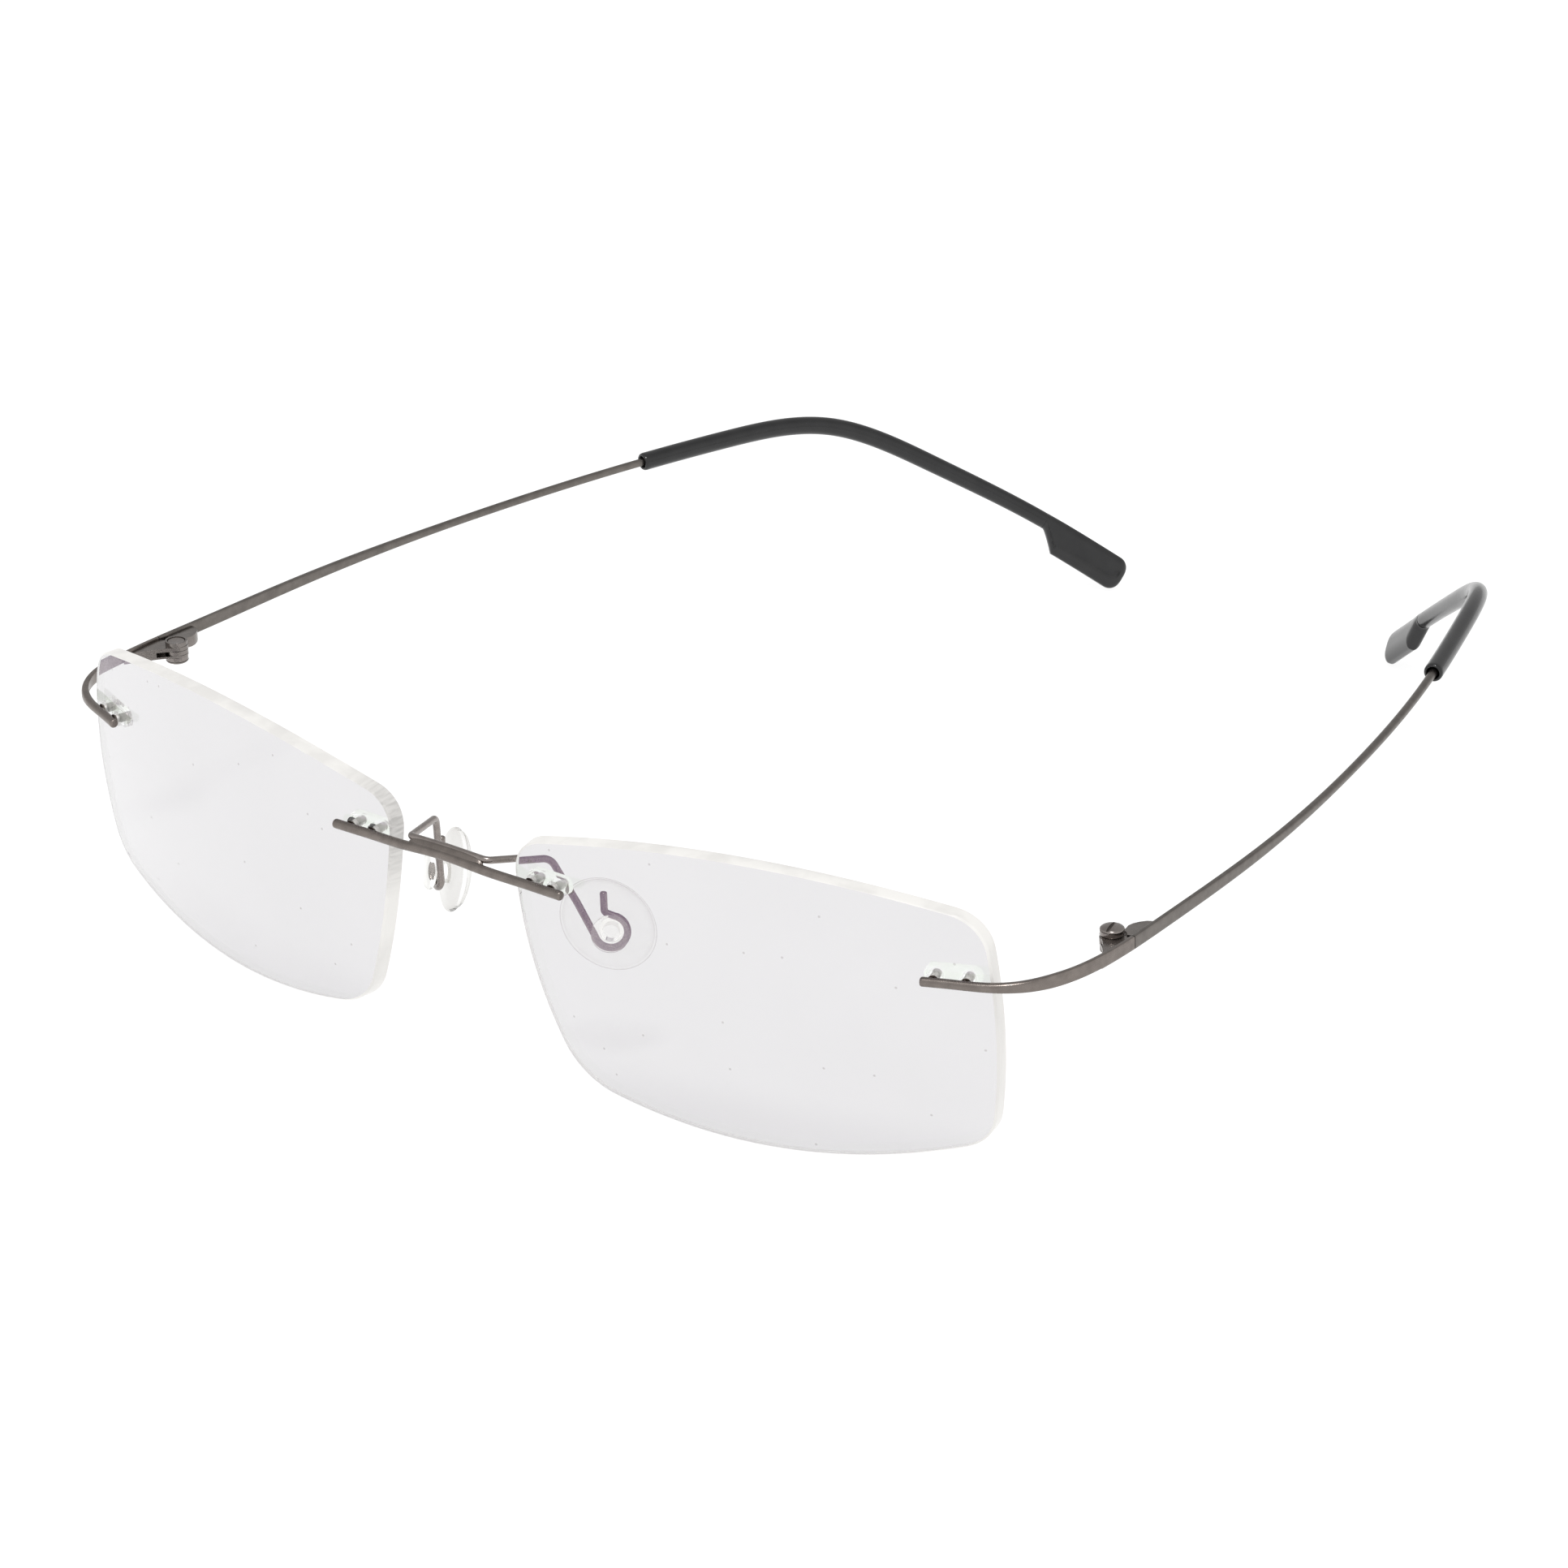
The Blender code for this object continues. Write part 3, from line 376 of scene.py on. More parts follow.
def mesh_from_rings(rings, capped=(True, True)):
    """Skin of equal rings, closed by flat caps or, where a cap is off, by fans to the ring's middle."""
    bm = bmesh.new()
    loops = [[bm.verts.new(p) for p in ring] for ring in rings]
    count = len(loops[0])
    for lower, upper in zip(loops, loops[1:]):
        for i in range(count):
            j = (i + 1) % count
            bm.faces.new((lower[i], lower[j], upper[j], upper[i]))
    for loop, ring, flat in ((loops[0], rings[0], capped[0]), (loops[-1], rings[-1], capped[1])):
        if flat:
            bm.faces.new(loop)
        else:
            hub = bm.verts.new(np.mean(ring, axis=0))
            for i in range(count):
                bm.faces.new((loop[i], loop[(i + 1) % count], hub))
    bmesh.ops.recalc_face_normals(bm, faces=bm.faces)
    return bm


def lathe(profile, count):
    """Solid of revolution about Z from (radius, height) points, closed by flat caps."""
    angles = (np.arange(count) + 0.5) * 2 * math.pi / count
    circle = np.stack([np.cos(angles), np.sin(angles), np.zeros(count)], axis=1)
    return mesh_from_rings([circle * radius + [0, 0, height] for radius, height in profile])


def prism(outline, bottom, top):
    """Flat outline in XY, raised from bottom to top."""
    return mesh_from_rings([[(x, y, z) for x, y in outline] for z in (bottom, top)])


def placed(bm, origin, axis_x, axis_y, axis_z):
    """Moves a mesh drawn about the origin into the frame of the three axes."""
    turn = Matrix((axis_x, axis_y, axis_z)).transposed().to_4x4()
    bmesh.ops.transform(bm, matrix=Matrix.Translation(Vector(origin)) @ turn, verts=bm.verts)
    return bm


def joined(parts):
    """One bmesh that holds several closed pieces."""
    whole = bmesh.new()
    for bm in parts:
        piece = bpy.data.meshes.new("piece")
        bm.to_mesh(piece)
        bm.free()
        whole.from_mesh(piece)
        bpy.data.meshes.remove(piece)
    return whole


def box_outline(low_x, low_y, high_x, high_y):
    return (low_x, low_y), (high_x, low_y), (high_x, high_y), (low_x, high_y)


def scene_object(name, data):
    """New object of the scene's collection."""
    obj = bpy.data.objects.new(name, data)
    bpy.context.scene.collection.objects.link(obj)
    return obj


def boolean(bm, tool, operation):
    """Solid of the exact union or difference of two bmeshes."""
    pair = []
    for source in (bm, tool):
        data = bpy.data.meshes.new("solid")
        source.to_mesh(data)
        source.free()
        pair.append(scene_object("solid", data))
    change = pair[0].modifiers.new("boolean", "BOOLEAN")
    change.object = pair[1]
    change.operation = operation
    change.solver = "EXACT"
    depsgraph = bpy.context.evaluated_depsgraph_get()
    data = bpy.data.meshes.new_from_object(pair[0].evaluated_get(depsgraph))
    result = bmesh.new()
    result.from_mesh(data)
    bpy.data.meshes.remove(data)
    for obj in pair:
        data = obj.data
        bpy.data.objects.remove(obj)
        bpy.data.meshes.remove(data)
    return result


def fused(bm, other):
    return boolean(bm, other, "UNION")


def cut(bm, *tools):
    """Solid with each of the tools cut away from it in turn."""
    for tool in tools:
        bm = boolean(bm, tool, "DIFFERENCE")
    return bm


def at_rest(side):
    """From mm in the wearer's frame to metres, as the glasses lie on a table on lenses and ear tips."""
    tip_back = Matrix.Rotation(-REST_PITCH, 4, "X")
    return Matrix.Diagonal((MM * side, MM, MM, 1.0)) @ Matrix.Translation(REST_SHIFT) @ tip_back


def lens_axes():
    """Directions across the lens, up the lens and back along its axis."""
    across = vec((math.cos(LENS_WRAP), math.sin(LENS_WRAP), 0))
    level = vec((-math.sin(LENS_WRAP), math.cos(LENS_WRAP), 0))
    up = vec((0, 0, math.cos(LENS_TILT))) - level * math.sin(LENS_TILT)
    back = vec((0, 0, math.sin(LENS_TILT))) + level * math.cos(LENS_TILT)
    return across, up, back


def lens_point(u, v, depth=0.0):
    """Point of the lens, given across and up its front, and depth behind the front along the lens axis."""
    across, up, back = lens_axes()
    sag = LENS_RADIUS - math.sqrt(LENS_RADIUS ** 2 - u * u - v * v)
    return vec(LENS_CENTRE) + across * u + up * v + back * (sag + depth)


def lens_outline(side_steps, corner_steps):
    """Closed outline of the lens: four bowed sides and a smooth curve at each corner."""
    corners = [vec(c) for c in LENS_CORNERS]
    sides = []
    for i, (start, bow) in enumerate(zip(corners, LENS_BOWS)):
        end = corners[(i + 1) % 4]
        length = np.linalg.norm(end - start)
        outward = vec((start[1] - end[1], end[0] - start[0])) / length
        first, last = LENS_CUTS[i] / length, 1 - LENS_CUTS[(i + 1) % 4] / length
        t = np.linspace(first, last, side_steps)[:, None]
        sides.append(start + (end - start) * t + outward * (4 * bow * t * (1 - t)))
    outline = []
    for here, there in zip(sides, sides[1:] + sides[:1]):
        leave, arrive = unit(here[-1] - here[-2]), unit(there[0] - there[1])
        reach = np.linalg.solve(np.stack([leave, -arrive], axis=1), there[0] - here[-1])
        grip_a = here[-1] + leave * reach[0] * LENS_ROUNDING
        grip_b = there[0] + arrive * reach[1] * LENS_ROUNDING
        outline.extend(here)
        for t in np.arange(1, corner_steps) / corner_steps:
            outline.append((1 - t) ** 3 * here[-1] + 3 * (1 - t) ** 2 * t * grip_a
                           + 3 * (1 - t) * t * t * grip_b + t ** 3 * there[0])
    return np.array(outline)


def mount_frame(mount):
    """Middle of a hole pair on the lens front, with the directions along the pair, across it and back."""
    u, v, _ = mount
    point = lens_point(u, v)
    across, _, back = lens_axes()
    centre = vec(LENS_CENTRE) + back * LENS_RADIUS
    normal = unit(centre - point)
    along = unit(np.cross(np.cross(normal, across), normal))
    return point, along, np.cross(normal, along), normal


def mount_holes(mount):
    """Middles of the pair's two holes on the lens front."""
    point, along, _, _ = mount_frame(mount)
    return [point + along * mount[2] * k for k in (-1, 1)]


def hole_cutters():
    """Pins that cut the lens's four holes."""
    pins = []
    for mount in (NOSE_MOUNT, OUTER_MOUNT):
        axes = mount_frame(mount)[1:]
        for hole in mount_holes(mount):
            pin = lathe([(HOLE_RADIUS, -CUT_PAST), (HOLE_RADIUS, LENS_THICK + CUT_PAST)], ROUND_POINTS)
            pins.append(placed(pin, hole, *axes))
    return joined(pins)


def capsule(half_spacing, radius, steps):
    """Outline of two round lobes joined by straight sides."""
    outline = []
    for middle, start in ((half_spacing, -math.pi / 2), (-half_spacing, math.pi / 2)):
        for angle in start + np.linspace(0, math.pi, steps):
            outline.append((middle + radius * math.cos(angle), radius * math.sin(angle)))
    return outline


def bar_point(mount, along_by):
    """Point of the wire in front of a mount, at a distance along it from the pair's middle."""
    point, along, _, normal = mount_frame(mount)
    return point + along * along_by - normal * BAR_STANDOFF


def fine(path, steps):
    """Same curve with more points on it."""
    return spline(path, [steps] * (len(path) - 1))


def bridge_path():
    """Bridge bar from the -X tip to the +X tip."""
    half = [vec(p) for p in BRIDGE_CREST]
    half += [bar_point(NOSE_MOUNT, by) for by in BRIDGE_ON_LENS]
    mirrored = [p * (-1, 1, 1) for p in half[:0:-1]]
    return fine(spline(mirrored + half, BRIDGE_STEPS), 3)


def loop_frame():
    """Middle of the wire loop behind a pad, with the directions across the pad, along it and out of it."""
    normal = unit(vec(PAD_NORMAL))
    long_way = vec(PAD_LONG)
    long_way = unit(long_way - normal * (normal @ long_way))
    return vec(LOOP_CENTRE), np.cross(long_way, normal), long_way, normal


def arm_half_path():
    """Pad-arm wire on the +X side, from the middle of the bridge to the loop's free tail."""
    centre, cross_way, long_way, normal = loop_frame()
    start = vec(BRIDGE_CREST[0]) + (0.0, ARM_BEHIND_BRIDGE, ARM_ABOVE_BRIDGE)
    leg = [start, vec(ARM_ON_BRIDGE), vec(ARM_KNEE), vec(ARM_SHIN)]
    entry = centre - cross_way * LOOP_RADIUS
    bends = rounded_path(leg + [entry], ARM_BENDS, 16)[:-1]
    loop = []
    for angle in np.radians(np.arange(*LOOP_ANGLES)):
        loop.append(centre + (cross_way * math.cos(angle) - long_way * math.sin(angle)) * LOOP_RADIUS)
    corners = [loop.pop()] + [centre + cross_way * x + long_way * y for x, y in LOOP_TAIL]
    corners[-1] = corners[-1] - normal * LOOP_TAIL_DIP
    return np.vstack([bends, loop, rounded_path(corners, (LOOP_TAIL_BEND,), 12)])


def arm_path():
    """Pad-arm wire from the -X loop's tail to the +X loop's."""
    half = arm_half_path()
    return np.vstack([(half * (-1, 1, 1))[:0:-1], half])


def temple_line(steps):
    """Centre of the end piece and temple as one curve, from the bar's tip to the end of the ear tip."""
    bar = [bar_point(OUTER_MOUNT, by) for by in END_BAR_ON_LENS]
    return fine(bar + list(TEMPLE_LINE), steps)


def between(path, low, high):
    """Stretch of a path between two Y values, with its ends set exactly on them."""
    def crossing(y):
        i = int(np.searchsorted(path[:, 1], y))
        t = (y - path[i - 1, 1]) / (path[i, 1] - path[i - 1, 1])
        return path[i - 1] + (path[i] - path[i - 1]) * t
    inside = path[(path[:, 1] > low + SEAM_KEEP_OFF) & (path[:, 1] < high - SEAM_KEEP_OFF)]
    first = path[:1] if low < path[0, 1] else crossing(low)[None]
    return np.vstack([first, inside[1:] if low < path[0, 1] else inside, crossing(high)[None]])


def blend(value, low, high):
    """Smooth step from 0 at low to 1 at high."""
    t = min(max((value - low) / (high - low), 0.0), 1.0)
    return t * t * (3 - 2 * t)


def wire_section(y, count):
    """Section of the temple wire: round at the mount, a flat band at the hinge, round at the ear tip."""
    flat = blend(y, FLAT_START_Y, FLAT_END_Y) - blend(y, BAND_END_Y, ROUND_AGAIN_Y)
    radius = END_BAR_RADIUS if y < SEAM_Y else CORE_RADIUS
    half_thick = radius + (BAND_THICK / 2 - radius) * flat
    half_height = radius + (BAND_HEIGHT / 2 - radius) * flat
    return oval(half_thick, half_height, 2 + 4 * flat, count)


def paddle_section(to_end, count):
    """Section of the ear tip at a distance from its end: a tube that steps out into a flat paddle."""
    ramp_on = (PADDLE_LENGTH - to_end) / PADDLE_SHOULDER
    flat = min(max(ramp_on, 0.0), 1.0) ** 1.15
    trim = 1 - math.sqrt(max(1 - max(1 - to_end / PADDLE_ROUND, 0) ** 2, 0))
    tube = TIP_NECK + (TIP_RADIUS - TIP_NECK) * blend(to_end, PADDLE_LENGTH, PADDLE_LENGTH + TIP_TAPER)
    half_width = tube + (PADDLE_WIDTH / 2 - tube) * flat - trim * PADDLE_ROUND
    half_thick = tube + (PADDLE_THICK / 2 - tube) * flat - trim * PADDLE_ROUND_THICK
    section = oval(half_thick, half_width, 2 + 1.6 * flat, count)
    section[:, 0] *= 1 - PADDLE_CHAMFER * flat * (np.abs(section[:, 1]) / half_width) ** 3
    section[:, 1] += (PADDLE_WIDTH / 2 - TIP_NECK) * flat
    return section


def hinge_arc(radius, start, end, steps):
    """Arc about the hinge axis, in degrees from +X."""
    angles = np.radians(np.linspace(start, end, steps))
    return [(HINGE[0] + radius * math.cos(a), HINGE[1] + radius * math.sin(a)) for a in angles]


def beside_band(y):
    """Point just inside the band, where a hinge half is soldered to it."""
    line = temple_line(6)
    x = np.interp(y, line[:, 1], line[:, 0])
    return x - BAND_THICK / 2 - HINGE_GAP, y


def hinge_disc(radius, face_a, face_b):
    """Cylinder on the hinge axis between two levels."""
    pin = lathe([(radius, height) for height in sorted((face_a, face_b))], ROUND_POINTS)
    bmesh.ops.translate(pin, vec=(HINGE[0], HINGE[1], 0), verts=pin.verts)
    return pin


def screw_bore(middle):
    return hinge_disc(SCREW_HOLE, middle - CUT_PAST, middle + CUT_PAST)


def slot_levels(middle, flip, half_height):
    """Bottom and top of the fork's slot, or of the tongue in it: both lie nearer the screw's head."""
    centre = middle + flip * SLOT_OFFSET
    return centre - half_height, centre + half_height


# ---- pieces ----

def add_piece(name, bm, materials, side, body, node, bevel=0.0):
    """Object from a right-side bmesh in mm, riding on a body and standing for a CAD node."""
    bmesh.ops.transform(bm, matrix=at_rest(side), verts=bm.verts)
    if side < 0:
        bmesh.ops.reverse_faces(bm, faces=bm.faces)
    data = bpy.data.meshes.new(name)
    bm.to_mesh(data)
    bm.free()
    for material in materials if isinstance(materials, tuple) else (materials,):
        data.materials.append(material)
    data.shade_smooth()
    obj = scene_object(name, data)
    if bevel:
        soft = obj.modifiers.new("soft edges", "BEVEL")
        soft.width = bevel * MM
        soft.segments = 3
        soft.limit_method = "ANGLE"
        soft.angle_limit = CREASE
        soft.harden_normals = True
    else:
        data.set_sharp_from_angle(angle=CREASE)
    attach(obj, body)
    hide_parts(node)
    return obj


# ---- materials ----

def new_material(name):
    material = bpy.data.materials.new(name)
    material.use_nodes = True
    tree = material.node_tree
    return material, tree, tree.nodes["Principled BSDF"]


def settle(node, **values):
    """Sets a node's inputs or settings; an underscore stands for the space in an input's name."""
    for key, value in values.items():
        socket = key.replace("_", " ")
        if socket in node.inputs:
            node.inputs[socket].default_value = value
        else:
            setattr(node, key, value)


def add_node(tree, kind, **values):
    node = tree.nodes.new(kind)
    settle(node, **values)
    return node


def feed(shader, socket, output):
    shader.id_data.links.new(output, shader.inputs[socket])


def grain(tree, scale, detail=3.0, stretch=(1, 1, 1)):
    """Noise in object space, in cycles per metre."""
    place = add_node(tree, "ShaderNodeTexCoord")
    mapping = add_node(tree, "ShaderNodeMapping", Scale=stretch)
    noise = add_node(tree, "ShaderNodeTexNoise", Scale=scale, Detail=detail)
    feed(mapping, "Vector", place.outputs["Object"])
    feed(noise, "Vector", mapping.outputs["Vector"])
    return noise.outputs["Fac"]


def ramp(tree, source, low, high, start=0.3, end=0.7):
    """Colour ramp from one colour to another as the source goes from start to end."""
    node = add_node(tree, "ShaderNodeValToRGB")
    first, last = node.color_ramp.elements
    first.position, first.color = start, (*low, 1)
    last.position, last.color = end, (*high, 1)
    feed(node, "Fac", source)
    return node.outputs["Color"]


def level(tree, source, low, high, start=0.3, end=0.7):
    """Number that goes from low to high as the source goes from start to end."""
    node = add_node(tree, "ShaderNodeMapRange", From_Min=start, From_Max=end, To_Min=low, To_Max=high)
    feed(node, "Value", source)
    return node.outputs["Result"]


def flat_cells(tree, scale):
    """Distance to the nearest of a scatter of points on the front plane, in cells."""
    place = add_node(tree, "ShaderNodeTexCoord")
    apart = add_node(tree, "ShaderNodeSeparateXYZ")
    flat = add_node(tree, "ShaderNodeCombineXYZ")
    cells = add_node(tree, "ShaderNodeTexVoronoi", voronoi_dimensions="2D", Scale=scale)
    feed(apart, "Vector", place.outputs["Object"])
    feed(flat, "X", apart.outputs["X"])
    feed(flat, "Y", apart.outputs["Z"])
    feed(cells, "Vector", flat.outputs["Vector"])
    return cells.outputs["Distance"]


def mixed(tree, share, first, second):
    """First colour where the share is 0, second where it is 1."""
    node = add_node(tree, "ShaderNodeMix", data_type="RGBA")
    feed(node, "Factor", share)
    feed(node, 6, first)
    feed(node, 7, second)
    return node.outputs[2]


def multiplied(tree, first, second):
    """Product of two colours."""
    node = add_node(tree, "ShaderNodeMix", data_type="RGBA", blend_type="MULTIPLY", Factor=1.0)
    feed(node, 6, first)
    feed(node, 7, second)
    return node.outputs[2]


def bump(tree, shader, source, strength):
    node = add_node(tree, "ShaderNodeBump", Strength=strength, Distance=GRAIN_DEPTH)
    feed(node, "Height", source)
    feed(shader, "Normal", node.outputs["Normal"])


def gunmetal(name, colour, rough, grain_scale=9000.0, strength=0.06):
    """Dark plated wire: a cloudy tone under a very fine grain."""
    material, tree, shader = new_material(name)
    settle(shader, Metallic=1.0)
    dark, light = (tuple(c * share for c in colour) for share in (0.9, 1.1))
    feed(shader, "Base Color", ramp(tree, grain(tree, 900.0), dark, light, 0.35, 0.65))
    speck = grain(tree, grain_scale, 2.0)
    feed(shader, "Roughness", level(tree, speck, rough - 0.06, rough + 0.08))
    bump(tree, shader, speck, strength)
    return material


def black_rubber(name):
    """Ear tips: nearly black, with a soft shine."""
    material, tree, shader = new_material(name)
    settle(shader, IOR=1.5)
    cloud = grain(tree, 500.0)
    feed(shader, "Base Color", ramp(tree, cloud, (0.007, 0.007, 0.0075), (0.012, 0.012, 0.0125)))
    feed(shader, "Roughness", level(tree, cloud, 0.15, 0.21))
    bump(tree, shader, grain(tree, 6000.0, 2.0), 0.08)
    return material


def lens_glass(name, dusty):
    """Clear lens with a purple coating bloom, a faint smear and perhaps a little dust."""
    material, tree, shader = new_material(name)
    settle(shader, Transmission_Weight=1.0, IOR=1.6, Roughness=0.0, Specular_IOR_Level=0.9,
           Specular_Tint=(0.85, 0.42, 1.0, 1.0))
    tint = ramp(tree, grain(tree, 60.0), (0.728, 0.727, 0.728), (0.745, 0.743, 0.745))
    if dusty:
        specks = ramp(tree, flat_cells(tree, DUST_PER_METRE), (0.62, 0.60, 0.58), WHITE, *DUST_SPECK)
        tint = multiplied(tree, tint, specks)
    feed(shader, "Base Color", tint)
    return material


def lens_edge(name):
    """Ground rim of the lens: pale with faint streaks across it, a painted dark reflection near one spot, a
    painted glow, and painted light that makes it white from inside.
    """
    material, tree, shader = new_material(name)
    # Painted light: the emission makes the rim glow, though it is no lamp.
    settle(shader, Roughness=0.4, Emission_Color=(1.0, 0.99, 0.97, 1), Emission_Strength=0.35)
    streak = grain(tree, 260.0, 4.0, (1.0, 1.0, 0.25))
    pale = ramp(tree, streak, (0.39, 0.38, 0.365), (0.47, 0.46, 0.44), 0.38, 0.58)
    # Painted reflection: dark streaks painted on the rim of the -X lens around one spot, standing in for a
    # dark reflection.
    lines = grain(tree, 2600.0, 2.0, (1.0, 0.05, 1.0))
    dark_reflection = ramp(tree, lines, (0.015, 0.01, 0.005), (0.24, 0.23, 0.22), 0.35, 0.65)
    away = add_node(tree, "ShaderNodeVectorMath", operation="DISTANCE")
    feed(away, 0, add_node(tree, "ShaderNodeTexCoord").outputs["Object"])
    away.inputs[1].default_value = RIM_DARK_REFLECTION
    clear_of_reflection = ramp(tree, away.outputs["Value"], (0.0, 0.0, 0.0), WHITE, *RIM_DARK_REFLECTION_REACH)
    outside = mixed(tree, clear_of_reflection, dark_reflection, pale)
    # Painted light: seen from inside the glass, the rim is painted near white.
    inside = ramp(tree, streak, (0.94, 0.94, 0.93), (1.0, 1.0, 0.99))
    behind = add_node(tree, "ShaderNodeNewGeometry").outputs["Backfacing"]
    feed(shader, "Base Color", mixed(tree, behind, outside, inside))
    return material


def hole_wall(name):
    """Hardly visible wall where a sleeve fills its hole."""
    material, tree, shader = new_material(name)
    settle(shader, Alpha=0.1, Roughness=0.4)
    feed(shader, "Base Color", ramp(tree, grain(tree, 900.0), (0.80, 0.80, 0.80), (0.92, 0.92, 0.92)))
    return material


def clear_body(name, ior, body, shade, start):
    """Smooth clear plastic: its tone, and the shade it takes on where the view runs along its surface."""
    material, tree, shader = new_material(name)
    settle(shader, Transmission_Weight=1.0, IOR=ior, Roughness=0.0)
    haze_scale, low, high = body
    slant = add_node(tree, "ShaderNodeLayerWeight", Blend=0.5).outputs["Facing"]
    # Painted shade: the body colour darkens where the view runs along the surface.
    aslant_shade = ramp(tree, slant, WHITE, shade, start)
    feed(shader, "Base Color", multiplied(tree, ramp(tree, grain(tree, haze_scale), low, high), aslant_shade))
    return material, shader


def clear_plastic(name, colour, ior, glow, side):
    """Milky clear plastic. The glow stands in for the light that it scatters; side is its shade aslant."""
    body = (800.0, tuple(c * 0.97 for c in colour), colour)
    material, shader = clear_body(name, ior, body, (side, side, 0.98 * side), 0.3)
    settle(shader, Emission_Color=(1.0, 1.0, 0.98, 1), Emission_Strength=glow)
    return material


def soft_silicone(name):
    """Clear from the front, with painted shade where the view runs along the pad."""
    body = (700.0, (0.965, 0.965, 0.955), (0.99, 0.99, 0.985))
    return clear_body(name, 1.05, body, (0.72, 0.71, 0.695), 0.15)[0]


# ---- lenses ----

def lens_piece():
    """Lens with its bevelled rim and four holes, each kind of face in its own material slot."""
    outline = lens_outline(34, 16)
    rings = []
    for scale in LENS_LEVELS:
        rings.append([lens_point(u * scale, v * scale) for u, v in outline])
    edge = 1 - LENS_BEVEL / LENS_REACH
    for scale, depth in ((edge, 0), (1, LENS_BEVEL), (1, LENS_THICK - LENS_BEVEL), (edge, LENS_THICK)):
        rings.append([lens_point(u * scale, v * scale, depth) for u, v in outline])
    for scale in LENS_LEVELS[::-1]:
        rings.append([lens_point(u * scale, v * scale, LENS_THICK) for u, v in outline])
    lens = cut(mesh_from_rings(rings, (False, False)), hole_cutters())
    back = lens_axes()[2]
    holes = mount_holes(NOSE_MOUNT) + mount_holes(OUTER_MOUNT)
    for face in lens.faces:
        facing_back = vec(face.normal) @ back
        if facing_back > FACE_LEAN:
            face.material_index = BACK_SLOT
        elif facing_back > -FACE_LEAN:
            middle = vec(face.calc_center_median())
            near = min(np.linalg.norm(np.cross(middle - hole, back)) for hole in holes)
            face.material_index = WALL_SLOT if near < WALL_REACH * HOLE_RADIUS else RIM_SLOT
    return lens


def true_lens_normals(obj, side):
    """Sets the exact spherical normals on the front and back, so that the glass bends light evenly."""
    mesh = obj.data
    _, _, back = lens_axes()
    corners = np.array([mesh.vertices[loop.vertex_index].co[:] for loop in mesh.loops])
    normals = np.array([n.vector[:] for n in mesh.corner_normals])
    face_normals = np.repeat([p.normal[:] for p in mesh.polygons],
                             [p.loop_total for p in mesh.polygons], axis=0)
    for depth, sign in ((0.0, -1.0), (LENS_THICK, 1.0)):
        centre = vec(LENS_CENTRE) + back * (LENS_RADIUS + depth)
        centre = np.array(at_rest(side) @ Vector(centre))
        out = (corners - centre) * -sign
        reach = np.linalg.norm(out, axis=1)
        out /= reach[:, None]
        outward = np.einsum("ij,ij->i", out, face_normals) > FACE_LEAN
        on_face = (np.abs(reach - LENS_RADIUS * MM) < ON_SPHERE * MM) & outward
        normals[on_face] = out[on_face]
    mesh.normals_split_custom_set(normals.tolist())


def sleeve_piece(mount):
    """Two tubes that line a pair of holes, joined by a flange behind the lens."""
    rear = LENS_THICK + FLANGE_GAP
    body = prism(capsule(mount[2] + FLANGE_REACH, FLANGE_RADIUS, 20), rear, rear + FLANGE_THICK)
    tubes, bores = [], []
    for x in (-mount[2], mount[2]):
        for group, radius, low, high in ((tubes, SLEEVE_RADIUS, SLEEVE_START, rear + FLANGE_THICK / 3),
                                         (bores, POST_BORE, -CUT_PAST, rear + CUT_PAST)):
            piece = lathe([(radius, low), (radius, high)], SLEEVE_POINTS)
            bmesh.ops.translate(piece, vec=(x, 0, 0), verts=piece.verts)
            group.append(piece)
    body = cut(fused(body, joined(tubes)), joined(bores))
    for face in body.faces:
        in_the_hole = face.calc_center_median().z < rear - FLANGE_GAP / 10
        face.material_index = int(in_the_hole)
    return placed(body, *mount_frame(mount))


def post_piece(mount, end, bar_radius):
    """Ribbed post in one hole of a pair, with a collar of solder where it meets the wire."""
    start = bar_radius + BAR_GAP - BAR_STANDOFF
    profile = [(POST_RADIUS + wider, start + height) for wider, height in POST_COLLAR]
    profile.append((POST_RADIUS, FIRST_RIB / 2))
    low = FIRST_RIB
    while low + RIB_PITCH < POST_END - 0.1:
        profile += [(POST_RADIUS + wider, low + RIB_PITCH * share) for wider, share in RIB_OUTLINE]
        low += RIB_PITCH
    profile += [(POST_RADIUS, POST_END - 0.12), (POST_RADIUS - 0.1, POST_END)]
    post = lathe(profile, POST_POINTS)
    for face in post.faces:
        past_the_solder = face.calc_center_median().z > start + 0.1
        face.material_index = int(past_the_solder)
    return placed(post, mount_holes(mount)[end], *mount_frame(mount)[1:])


# ---- wire ----

def rounded_ends(path, radius, both=True):
    """Path with dome points added at its ends, and the radius at each point."""
    start, end = tangents(path)[0], tangents(path)[-1]
    angles = np.radians(DOME_ANGLES)
    head = [path[0] - start * radius * DOME_DEPTH * math.sin(a) for a in angles]
    radii = [radius * (1 + math.cos(a)) / 2 for a in angles]
    if not both:
        return np.vstack([head, path]), radii + [radius] * len(path)
    tail = [path[-1] + end * radius * DOME_DEPTH * math.sin(a) for a in angles[::-1]]
    return np.vstack([head, path, tail]), radii + [radius] * len(path) + radii[::-1]


